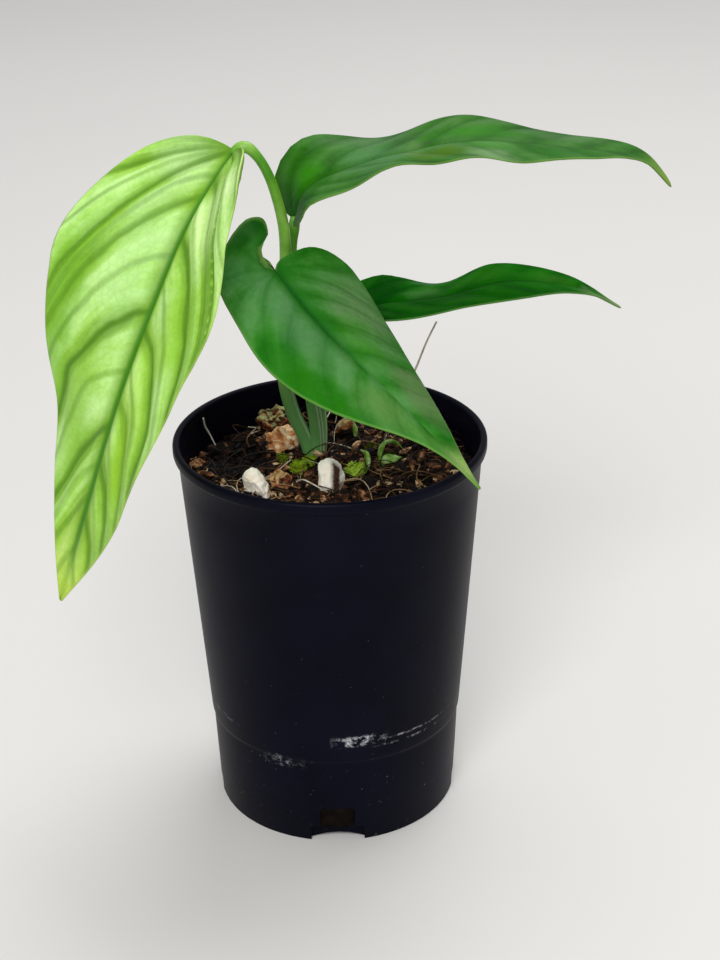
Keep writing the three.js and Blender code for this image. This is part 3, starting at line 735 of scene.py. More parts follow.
for number, (name, (at, size, lean, tone, algae)) in enumerate(stones.items()):
    is_pumice = "pumice" in name
    vertices, faces = lump(at, size, lean, seed=40 + number, cuts=2 if is_pumice else 11, detail=5,
                           pits=0.5 if is_pumice else 1.2, pit_width=2.0 if is_pumice else 2.4)
    made = piece(name + "_stone", vertices, faces, [pumice if is_pumice else nugget_bark])
    toned(made, [len(vertices)], [tone])
    grown = made.data.attributes.new("algae", "FLOAT", "POINT")
    grown.data.foreach_set("value", [algae] * len(vertices))
    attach(made, "root")
    "pumice" if is_pumice else "pale_bark" if "pale" in name else "bark"
    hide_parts(name)

# Stem and leaf stalks: one green stem in the mix that divides into four round stalks, each with
# a shallow pale-edged groove down its inner side and a slight swelling under its blade.
stem_line = [(-4.4, 15.2, 88), (-4.6, 14.9, 97), (-4.8, 14.6, 107)]
stem_radii = [3.1, 2.9, 2.6]
# Each stalk: the points of its line from the stem to its blade, and its radii
stalks = [
    ([(-5.2, 14.6, 100), (-7.1, 14, 109.4), (-11.1, 12, 120.9), (-13, 9, 133.5),
      (-12.4, 5, 151.5), (-11.4, 1, 168.7), (-11.4, -2, 181.7), (-13.5, -4, 193.1),
      (-16.2, -5.5, 200.9), (-19.6, -6.2, 205.8), (-22.1, -6.2, 206.5), (-24.3, -6, 204.9)],
     [2.2, 1.9, 1.3]),
    ([(-4.6, 15, 98), (-3.5, 14.5, 109.1), (-4.5, 13, 122.3), (-7.7, 10, 144.9),
      (-9.4, 7, 166.5), (-9.3, 4.5, 176), (-8.4, 2.8, 183.2)], [2, 1.6, 1.3]),
    ([(-4.8, 14, 100), (-4.3, 13, 112.7), (-5.6, 8, 127.3), (-8.3, -2, 149.7),
      (-11.8, -11, 166.3), (-12.7, -14.9, 172)], [1.9, 1.5, 1.1]),
    ([(-4.2, 15.4, 98), (-2.6, 15, 109.8), (-2.4, 15, 121.3), (-1.1, 15, 136.3),
      (2.1, 14.1, 149.6)], [1.9, 1.5, 1.2]),
]
stalk_sides = 24
stalk_colours = [(0.3, 0x468A14), (0.5, 0x62A026), (0.7, 0x88B44C)]
shaded_stalk_colour = 0x6CA064
groove_edge_colour = 0xBCD4A8


def read_along(values, u):
    """Smooth value at u = 0 to 1 through even stations, level at both ends."""
    values = np.asarray(values, float)
    last = len(values) - 1
    at = np.clip(u, 0, 1) * last
    i = np.minimum(at.astype(int), last - 1)
    f = at - i
    if values.ndim > 1:
        f = f[..., None]
    p0, p1, p2, p3 = (np.concatenate([values[1:2], values, values[-2:-1]])[i + k] for k in range(4))
    square = (2 * p0 - 5 * p1 + 4 * p2 - p3) * f ** 2
    return 0.5 * (2 * p1 + (p2 - p0) * f + square + (3 * p1 - p0 - 3 * p2 + p3) * f ** 3)


def curve_through(points, steps):
    """Evenly spaced places on a smooth curve through points, and its length."""
    p = np.asarray(points, float)
    p = np.vstack([2 * p[0] - p[1], p, 2 * p[-1] - p[-2]])
    t = np.linspace(0, len(p) - 3, 40 * len(p))
    i = np.minimum(t.astype(int), len(p) - 4)
    f = (t - i)[:, None]
    a, b, c, d = (p[i + k] for k in range(4))
    fine = 0.5 * (2 * b + (c - a) * f + (2 * a - 5 * b + 4 * c - d) * f ** 2
                  + (3 * b - a - 3 * c + d) * f ** 3)
    arc = np.concatenate([[0], np.cumsum(np.linalg.norm(np.diff(fine, axis=0), axis=1))])
    even = np.linspace(0, arc[-1], steps + 1)
    return np.stack([np.interp(even, arc, fine[:, axis]) for axis in range(3)], 1), arc[-1]


# The swelling lies this far below the blade; the groove is measured in turns round the stalk and
# the round end in radii
swelling_back = 3.5
swelling_half_length = 3.2
groove_turn = 0.09
round_end = 0.35


def tube(points, radii, sides, steps, swelling=0.0, groove=0.0, flat=1.0):
    """A closed round stalk along a curve, with (length in mm, turn from 0 to 1) of each vertex."""
    spine, length = curve_through(points, steps)
    tangents = np.gradient(spine, axis=0)
    tangents /= np.linalg.norm(tangents, axis=1, keepdims=True)
    across = np.cross(tangents[0], (1, 0.3, 0))
    vertices, marks = [], []
    for i, (centre, tangent) in enumerate(zip(spine, tangents)):
        across = across - (across @ tangent) * tangent
        across /= np.linalg.norm(across)
        other = np.cross(tangent, across)
        along = length * i / steps
        radius = read_along(radii, np.array(i / steps))
        near_blade = (length - along - swelling_back) / swelling_half_length
        radius = radius * (1 + swelling * math.exp(-near_blade ** 2))
        for j in range(sides):
            turn = j / sides
            angle = 2 * math.pi * turn
            dip = groove * math.exp(-((turn - 0.5) / groove_turn) ** 2) * (1 - i / steps)
            vertices.append(centre + radius * (1 - dip) * (
                math.cos(angle) * across + flat * math.sin(angle) * other))
            marks.append((along, turn))
    faces = []
    for i in range(steps):
        for j in range(sides):
            a, b = i * sides + j, i * sides + (j + 1) % sides
            faces.append([a, b, b + sides, a + sides])
    for end, tangent in ((0, -tangents[0]), (steps, tangents[-1])):
        vertices.append(spine[end] + round_end * radii[-1 if end else 0] * tangent)
        marks.append((length * end / steps, 0))
        ring = [end * sides + j for j in range(sides)]
        for j in range(sides):
            pair = [ring[j], ring[(j + 1) % sides]]
            faces.append((pair if end else pair[::-1]) + [len(vertices) - 1])
    return np.array(vertices), faces, np.array(marks)


green_stalk, tree, shader, place = new_finish("green_leaf_stalk", {"IOR": 1.42, "Roughness": 0.42})
mark = add(tree, "Attribute", out="Vector", attribute_name="mark")
along = add(tree, "SeparateXYZ", (mark,)).node.outputs
blotch = add(tree, "TexNoise", (place, 1000 / 9, 4))
green = add(tree, "ValToRGB", (blotch,), stalk_colours)
# The pale edge of the groove lies 0.11 of a turn beside its middle
from_edge = add(tree, "Math SUBTRACT", (along["Y"], 0.61))
near = add(tree, "Math ABSOLUTE", (from_edge,))
line = add(tree, "MapRange", (near, 0.01, 0.045, 0.75, 0))
low = add(tree, "MapRange", (along["X"], 55, 25))
edge = add(tree, "Math MULTIPLY", (line, low))
# Painted shade: low on the stalks, near the mix, the green turns to a duller bluish green
low_shade = add(tree, "Math MULTIPLY", (low, 0.75))
bluish = add(tree, "Mix", (low_shade, green, linear(shaded_stalk_colour)), data_type="RGBA")
colour = add(tree, "Mix", (edge, bluish, linear(groove_edge_colour)), data_type="RGBA")
fine = add(tree, "TexNoise", (place, 1000 / 0.7, 2))
bump = add(tree, "Bump", {"Height": fine, "Strength": 0.1, "Distance": 0.0002})
add(tree, shader, {"Base Color": colour, "Normal": bump})

parts = [tube(stem_line, stem_radii, stalk_sides, 20)]
for line, radii in stalks:
    parts.append(tube(line, radii, stalk_sides, 110, swelling=0.28, groove=0.16))
vertices, faces, _ = gathered([part[:2] for part in parts])
stem = piece("stem_and_stalks", vertices, faces, [green_stalk])
marks = np.concatenate([np.pad(part[2], ((0, 0), (0, 1))) for part in parts])
stem.data.attributes.new("mark", "FLOAT_VECTOR", "POINT").data.foreach_set("vector", marks.ravel())
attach(stem, "root")
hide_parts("stem")

# Moss: small cushions that have grown on the damp bark at the front, olive to bright green, each
# a low mound set with short pointed shoots.
# Each cushion: its place, its width and its tone
cushions = [(7.2, 0.8, 5.6, 0.8), (-9.7, 3.6, 4.6, 0.5), (-6.6, 8.2, 3.6, 0.55),
            (-14.6, 8.6, 3.0, 0.45), (17.6, 6.2, 4.4, 0.2), (-20.8, -5.6, 2.8, 0.2),
            (12.6, 16.4, 3.0, 0.2)]
shoots_per_square_metre = 4.5e6
shoot_length = 1.0
moss_colours = [(0.1, 0x1C2400), (0.35, 0x566010), (0.6, 0x82A01C), (0.9, 0xB0D048)]
moss_green, tree, shader, place = new_finish("growing_moss",
                                             {"IOR": 1.4, "Roughness": 0.7,
                                              "Specular IOR Level": 0.15})
tone = add(tree, "Attribute", out="Fac", attribute_name="tone")
uneven = add(tree, "TexNoise", (place, 1000 / 1.6, 3))
lit = add(tree, "Math MULTIPLY_ADD", (uneven, 0.9, tone))
level = add(tree, "Math SUBTRACT", (lit, 0.42))
shade = add(tree, "ValToRGB", (level,), moss_colours)
add(tree, shader, {"Base Color": shade})
mounds = [lump((x, y, bed_height(x, y) + 1.6), (width, 0.85 * width, 0.75 * width), (0, 0, x),
               seed=700 + i, cuts=3, pits=0.5, pit_width=1.6)
          for i, (x, y, width, _) in enumerate(cushions)]
vertices, faces, counts = gathered(mounds)
moss = piece("moss_cushions", vertices, faces, [moss_green])
toned(moss, counts, [cushion[3] for cushion in cushions])

shoots = bpy.data.node_groups.new("moss_shoots", "GeometryNodeTree")
given = sockets(shoots, {"Per square metre": "Float", "Shoot length": "Float", "Seed": "Int"})
spots = add(shoots, "GeometryNodeDistributePointsOnFaces",
            {"Mesh": given["Surface"], "Density": given["Per square metre"], "Seed": given["Seed"]},
            distribute_method="RANDOM")
shoot = add(shoots, "GeometryNodeMeshCone",
            {"Vertices": 4, "Radius Top": 0.06, "Radius Bottom": 0.26, "Depth": 1})
tilt = add(shoots, "FunctionNodeRandomValue",
           {"Min": (-0.9, -0.9, 0), "Max": (0.9, 0.9, full_turn), "Seed": 2},
           data_type="FLOAT_VECTOR")
lean = add(shoots, "FunctionNodeRotateRotation",
           {"Rotation": spots.node.outputs["Rotation"], "Rotate By": tilt}, rotation_space="LOCAL")
grow = add(shoots, "FunctionNodeRandomValue", {"Min": 0.5, "Max": 1.3, "Seed": 3},
           data_type="FLOAT")
scale = add(shoots, "Math MULTIPLY", (grow, given["Shoot length"]))
laid = add(shoots, "GeometryNodeInstanceOnPoints",
           {"Points": spots, "Instance": shoot, "Rotation": lean, "Scale": scale})
real = add(shoots, "GeometryNodeRealizeInstances", {"Geometry": laid})
both = shoots.nodes.new("GeometryNodeJoinGeometry")
shoots.links.new(real, both.inputs[0])
shoots.links.new(given["Surface"], both.inputs[0])
dressed = add(shoots, "GeometryNodeSetMaterial",
              {"Geometry": both.outputs[0], "Material": moss_green})
add(shoots, "NodeGroupOutput", (dressed,))
moss = scatter(moss, shoots,
               {"Per square metre": shoots_per_square_metre, "Shoot length": shoot_length / 1000,
                "Seed": 5})
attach(moss, "root")

# Seedlings: a few weeds that have just come up through the mix, each a narrow curled leaf about
# three millimetres wide, green with pale patches.
curls = [[(14.4, 5.6, 105), (14.8, 7.2, 108.6), (16.2, 9.8, 110.4), (19.4, 10.6, 110.2),
          (21.6, 8.4, 109.2)],
         [(15.2, 4.6, 105), (16, 4.4, 107.4), (18.4, 4.2, 108), (21, 5.4, 107.8)],
         [(10.2, 1.6, 104.6), (11, 2.4, 107.6), (10.6, 4, 109.8), (9, 5, 110.6)],
         [(7, 27.4, 104), (7.6, 26.6, 107), (7.2, 26, 110.6)]]
curl_radii = [0.6, 1.7, 1.6, 0.3]
seedling_colours = [(0.35, 0x4E8A1C), (0.5, 0x84B048), (0.65, 0xC6D8A0)]
seedling, tree, shader, place = new_finish("pale_green_seedling",
                                           {"IOR": 1.42, "Roughness": 0.5,
                                            "Specular IOR Level": 0.3})
blotch = add(tree, "TexNoise", (place, 1000 / 2.5, 3))
pale = add(tree, "ValToRGB", (blotch,), seedling_colours)
add(tree, shader, {"Base Color": pale})
sprouts = [tube(points, curl_radii, 12, 24, flat=0.4)[:2] for points in curls]
vertices, faces, _ = gathered(sprouts)
seedlings = piece("seedlings", vertices, faces, [seedling])
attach(seedlings, "root")

# Leaves: thin waved blades, each raised between its side veins and drawn in along them, with a
# groove over the midrib and the midrib itself proud below. The youngest, on the left, is still
# soft and yellow-green; the other three have hardened to a dark satin green.
# midrib: points from the stalk to the tip. face: which way the upper side looks at even stations.
# The pairs are the near and the far half: half width, how far the basal lobe reaches back, where
# its shoulder turns, degrees of fold at the midrib and of curl out to the margin, the wave, and
# how far along the midrib each side vein leaves it. slant: how far a side vein has run towards
# the tip for each millimetre out, at the midrib, how much more at the margin and at the tip.
plain_leaf = {"lobe_bend": (0, 0), "lobe_in": (0, 0), "sinus": (0, 0), "slant": (0.5, 0.6, 0.6)}
leaves = {
    "leaf_a_young": {**plain_leaf,
        "midrib": [(-24.3, -6, 204.9), (-30.5, -11.5, 197.4), (-38.6, -18.6, 185.2),
                   (-47.2, -26.1, 167.4), (-58.8, -33.2, 139.4), (-77, -36.2, 84.4)],
        "face": [(-0.48, -0.53, 0.86), (-0.45, -0.44, 0.68), (-0.54, -0.5, 0.45),
                 (-0.51, -0.61, 0.35)],
        "half": (36.8, 33), "lobe": (1.5, 0.5), "shoulder": (0.23, 0.1),
        "full": (0.36, 0.48), "widest": 0.25, "taper": 0.58, "blunt": 1,
        "fold": ((6, 17.5, 0, 0), (39, 17, 11, 5)),
        "curl": ((-7, -2, -9, -20), (-9, -7, 6.7, -8.5)),
        "wave": ((0.7, 34, 0.5), (0.5, 30, 1.5)), "slant": (0.35, 1.2, 1.8), "quilt": 1.9,
        "veins": ((0, 15, 49, 83, 104), (0, 9, 27, 54, 74, 92, 108)),
    },
    "leaf_b_upper": {**plain_leaf,
        "midrib": [(-8.4, 2.8, 183.2), (-4.6, 3.7, 191.7), (7, 4.9, 196.9), (24.7, 6.2, 201),
                   (42.6, 7.2, 203.3), (71.6, 8.1, 200.4), (88, 8.2, 197.4), (97.3, 8.2, 188.8)],
        "face": [(-0.64, -0.33, 0.27), (-0.21, 0.01, 0.85), (0.03, -0.06, 1.07),
                 (0.2, -0.06, 1.05)],
        "half": (22.2, 26), "lobe": (0.6, 0.6), "shoulder": (0.3, 0.3),
        "full": (0.55, 0.34), "widest": 0.26, "taper": 0.38, "blunt": 3.4,
        "fold": ((29, 11, 8, 8), (-4, -2, 7, 0, 10)),
        "curl": ((-13, -10, -21, 8.5), (5, -6, -18, 7)),
        "wave": ((0.8, 24, -1.05), (0.9, 50, 0.8)), "quilt": 0.6,
        "veins": ((0, 9, 22, 37, 53, 68, 82, 95), (0, 14, 29, 43, 60, 74, 89, 101)),
    },
    "leaf_c_front": {**plain_leaf,
        "midrib": [(-13.1, -15.8, 174.3), (-7.2, -22.6, 168.5), (2.7, -32, 159.9),
                   (17.7, -42.4, 148.2), (29.8, -48.7, 137), (40.3, -52.4, 124.9)],
        "face": [(0.3, -0.26, 0.82), (0.07, -0.11, 0.93), (0.07, -0.13, 0.93)],
        "half": (22.3, 22.9), "lobe": (16.8, 4), "shoulder": (0.54, 0.49),
        "full": (0.1, 0.55), "widest": 0.25, "taper": 0.24, "blunt": 0.8,
        "fold": ((6, 4, 21), (15.7, -0.4, 0.9)),
        "curl": ((-28.5, -33.7, -2), (-18.6, -24.3, -16.3)),
        "lobe_bend": (0.06, 0.015), "lobe_in": (0.66, 0), "sinus": (3.5, 0),
        "wave": ((0.5, 30, 0), (0.5, 34, 1.5)), "quilt": 0.38,
        "veins": ((0, 11, 24, 36, 49, 60), (0, 8, 19, 31, 44, 56, 66)),
    },
    "leaf_d_lower": {**plain_leaf,
        "midrib": [(2.1, 14.1, 149.6), (16.1, 9.8, 154.8), (33.3, 7.5, 157.5),
                   (52.1, 8.8, 161.4), (72.6, 14.4, 157), (86.6, 20.9, 148)],
        "face": [(-0.39, 0.06, 0.78), (0.06, 0.08, 0.93), (0.2, -0.06, 1.04)],
        "half": (19.2, 21.6), "lobe": (6.2, 6.7), "shoulder": (0.5, 0.52),
        "full": (0.55, 0.55), "widest": 0.31, "taper": 0.26, "blunt": 1.2,
        "fold": ((10.8, 4, 5.8), (9.4, 3.5, 9.5)),
        "curl": ((-7.2, -11.5, -1.8), (-9.3, -16, 1.8)),
        "wave": ((0.8, 30, 0), (1.0, 46, 1.02)), "quilt": 0.15,
        "veins": ((0, 10, 22, 36, 49, 61, 72), (0, 13, 27, 39, 53, 66, 77)),
    },
}
sweep = 0.7
fan_rows = 24
blade_rows = 150
blade_columns = 34
blade_thickness = 0.62
rib_height = 0.9
rib_half_width = 1.5
lobe_vein_angle = 0.45
vein_groove = 0.6
quilt_reach = 3.8


def half_outline(leaf, length, k):
    """Outline of half a flattened blade: distance along the midrib and out from it."""
    width, lobe = leaf["half"][k], leaf["lobe"][k]
    turn, wide, blunt = leaf["shoulder"][k] * width, leaf["widest"] * length, leaf["blunt"]
    bends = [
        [(0, 0), (-0.75 * lobe, 0), (-lobe, 0.35 * turn), (-lobe, turn)],
        [(-lobe, turn), (-lobe, turn + 0.75 * (width - turn)),
         (wide - leaf["full"][k] * (wide + lobe), width), (wide, width)],
        [(wide, width), (wide + 0.45 * (length - wide), width),
         (length - 0.35 * (length - wide), leaf["taper"] * width), (length - blunt, blunt)],
        [(length - blunt, blunt), (length - 0.45 * blunt, 0.9 * blunt), (length, 0.55 * blunt),
         (length, 0)],
    ]
    t = np.linspace(0, 1, 81)[:, None]
    parts = []
    for a, b, c, d in np.array(bends):
        part = (1 - t) ** 3 * a + 3 * (1 - t) ** 2 * t * b + 3 * (1 - t) * t ** 2 * c + t ** 3 * d
        parts.append(part[1:] if parts else part)
    return np.concatenate(parts)


def flat_grid(leaf, length, k):
    """Rulings of half a blade as (s, w, edge width) grids: the fan of the lobe, then even steps
    to the tip, swept forwards as the side veins are."""
    outline = half_outline(leaf, length, k)
    feet = np.maximum(outline[:, 0] - sweep * outline[:, 1], 0)
    first = np.flatnonzero(feet > 0)[0] - 1
    fan = np.linspace(0, first, fan_rows + 1)
    foot = np.concatenate([0 * fan, length * np.arange(1, blade_rows + 1) / blade_rows])
    place = np.concatenate([fan,
                            np.interp(foot[fan_rows + 1:], feet[first:],
                                      np.arange(first, len(feet)))])
    edge = np.stack([np.interp(place, np.arange(len(outline)), outline[:, axis])
                     for axis in (0, 1)], 1)
    share = np.linspace(0, 1, blade_columns) ** 1.15
    share = np.append(share[:-1], [0.985, 1.0])
    s = foot[:, None] + (edge[:, :1] - foot[:, None]) * share
    return s, edge[:, 1:] * share, edge[:, 1:] * (1 - share)


def vein_phase(leaf, length, k, s, w):
    """Number of the side vein that a flat point lies on, and the veins' spacing there in mm."""
    feet = np.array((*leaf["veins"][k], length))
    near, far, tipwards = leaf["slant"]
    out = w / leaf["half"][k]
    steep = tipwards * np.clip(2.2 * s / length - 1.2, 0, 1)
    slope = near + far * out + steep
    foot = s - slope * w
    ahead = foot >= 0
    angle = np.arctan2(w, s) - np.arctan2(1, slope)
    phase = np.where(ahead, np.interp(foot, feet, np.arange(len(feet))), -angle / lobe_vein_angle)
    gap = np.diff(feet)[np.clip(phase.astype(int), 0, len(feet) - 2)]
    width = np.where(ahead, gap / np.hypot(1, near + 2 * far * out + steep),
                     lobe_vein_angle * np.hypot(s, w))
    return phase, width


def bent(leaf, spine, length, k, s, w):
    """The place in the air of the point (s, w) of half a flat blade."""
    u = np.clip(s / length, 0, 1)
    at = u * (len(spine) - 1)
    tangents = np.gradient(spine, axis=0)
    point, tangent = (np.stack([np.interp(at, np.arange(len(rows)), rows[:, axis])
                                for axis in range(3)], -1) for rows in (spine, tangents))
    tangent /= np.linalg.norm(tangent, axis=-1, keepdims=True)
    normal = read_along(leaf["face"], u)
    normal -= (normal * tangent).sum(-1, keepdims=True) * tangent
    normal /= np.linalg.norm(normal, axis=-1, keepdims=True)
    out = np.cross(tangent, normal) * (-1 if k else 1)
    behind = np.minimum(s, 0)
    bend = leaf["lobe_bend"][k] or 1e-9
    turn = bend * behind
    point = point + (np.sin(turn) / bend)[..., None] * tangent
    point = point + ((1 - np.cos(turn)) / bend)[..., None] * normal
    normal = np.cos(turn)[..., None] * normal - np.sin(turn)[..., None] * tangent
    fold = np.radians(read_along(leaf["fold"][k], u))
    curl = np.radians(read_along(leaf["curl"][k], u)) / leaf["half"][k]
    curl = np.where(np.abs(curl) < 1e-6, 1e-6, curl)
    w = w - leaf["lobe_in"][k] * behind ** 2 / (6 - behind)
    w = w + leaf["sinus"][k] * np.sin(np.pi * np.clip(-s / 11, 0, 1)) * np.exp(-w / 6)
    tilt = fold + curl * w
    point = point + ((np.sin(tilt) - np.sin(fold)) / curl)[..., None] * out
    point = point + ((np.cos(fold) - np.cos(tilt)) / curl)[..., None] * normal
    height, wavelength, phase = leaf["wave"][k]
    rise = height * (w / leaf["half"][k]) ** 2 * np.sin(2 * np.pi * s / wavelength + phase)
    rise = rise * np.clip(s / (0.12 * length), 0, 1)
    rise = rise * np.clip((length - s) / (0.25 * length), 0, 1)
    up = np.cos(tilt)[..., None] * normal - np.sin(tilt)[..., None] * out
    return point + rise[..., None] * up


def blade(name, leaf, finishes):
    """One closed blade with its vein coordinates in the UV maps blade, veins and margin."""
    spine, length = curve_through(leaf["midrib"], 600)
    sheet, loops, marks = [], [], []
    for k in (0, 1):
        s, w, to_edge = flat_grid(leaf, length, k)
        phase, spacing = vein_phase(leaf, length, k, s, w)
        start = sum(len(part) for part in sheet)
        sheet.append(bent(leaf, spine, length, k, s, w).reshape(-1, 3))
        columns = np.stack([s, -w if k else w, phase, spacing, to_edge, s / length], -1)
        marks.append(columns.reshape(-1, 6))
        rows, columns = s.shape
        i, j = np.meshgrid(np.arange(rows - 1), np.arange(columns - 1), indexing="ij")
        a = (start + i * columns + j).ravel()
        quad = np.stack([a, a + 1, a + columns + 1, a + columns], 1)
        loops.append(quad[:, ::-1] if k else quad)
    sheet, marks, loops = np.concatenate(sheet), np.concatenate(marks), np.concatenate(loops)
    _, first, joined = np.unique(np.round(sheet, 4), axis=0, return_index=True, return_inverse=True)
    joined = joined.ravel()
    points, flat = sheet[first], marks[first]
    faces, corners = [], []
    for loop in loops:
        kept = [v for i, v in enumerate(loop) if joined[v] not in joined[loop[:i]]]
        if len(kept) > 2:
            faces.append([joined[v] for v in kept])
            corners.append(kept)
    normals = np.zeros_like(points)
    for face in faces:
        a, b, c = points[face[0]], points[face[1]], points[face[-1]]
        normals[face] += np.cross(b - a, c - a)
    normals /= np.linalg.norm(normals, axis=1, keepdims=True)
    s, w, phase, spacing, to_edge, u = flat.T
    from_vein = np.abs((phase + 0.5) % 1 - 0.5) * spacing
    middle = np.exp(-(w / rib_half_width) ** 2)
    open_blade = np.clip((np.abs(w) - 1.5) / 5, 0, 1) * np.clip(to_edge / 5, 0, 1)
    open_blade *= np.clip(spacing / 6, 0, 1)
    relief = leaf["quilt"] * (1 - np.exp(-(from_vein / quilt_reach) ** 2) - 0.6) * open_blade
    relief -= 0.25 * np.exp(-(from_vein / vein_groove) ** 2) * open_blade
    relief -= 0.5 * middle * np.clip((1 - u) * 4, 0, 1)
    points = points + relief[:, None] * normals
    body = 0.5 * blade_thickness * np.clip(to_edge / 0.5, 0, 1) ** 0.5
    rib = rib_height * middle * np.clip(1.1 * (1 - u), 0, 1) * (to_edge > 0)
    rib = rib + 0.3 * np.exp(-(from_vein / 0.8) ** 2) * open_blade
    count = len(points)
    inner_edge = to_edge > 1e-6
    inner_edge[w == 0] = True
    under = np.where(inner_edge, np.arange(count) + count, np.arange(count))
    vertices = np.concatenate([points + body[:, None] * normals,
                               points - (body + rib)[:, None] * normals])
    vertices[:count][~inner_edge] = points[~inner_edge]
    all_faces = faces + [[under[v] for v in face[::-1]] for face in faces]
    all_corners = corners + [corner[::-1] for corner in corners]
    used = np.unique(np.concatenate([np.array(f) for f in all_faces]))
    index = np.full(len(vertices), -1)
    index[used] = np.arange(len(used))
    made = piece(name, vertices[used], [[int(index[v]) for v in f] for f in all_faces], finishes)
    sides = [0] * len(faces) + [1] * len(faces)
    made.data.polygons.foreach_set("material_index", sides)
    order = np.concatenate([np.array(c) for c in all_corners])
    for layer, columns in (("blade", (0, 1)), ("veins", (2, 3)), ("margin", (4, 5))):
        uv = made.data.uv_layers.new(name=layer)
        uv.data.foreach_set("uv", marks[order][:, columns].astype(np.float32).ravel())
    return made


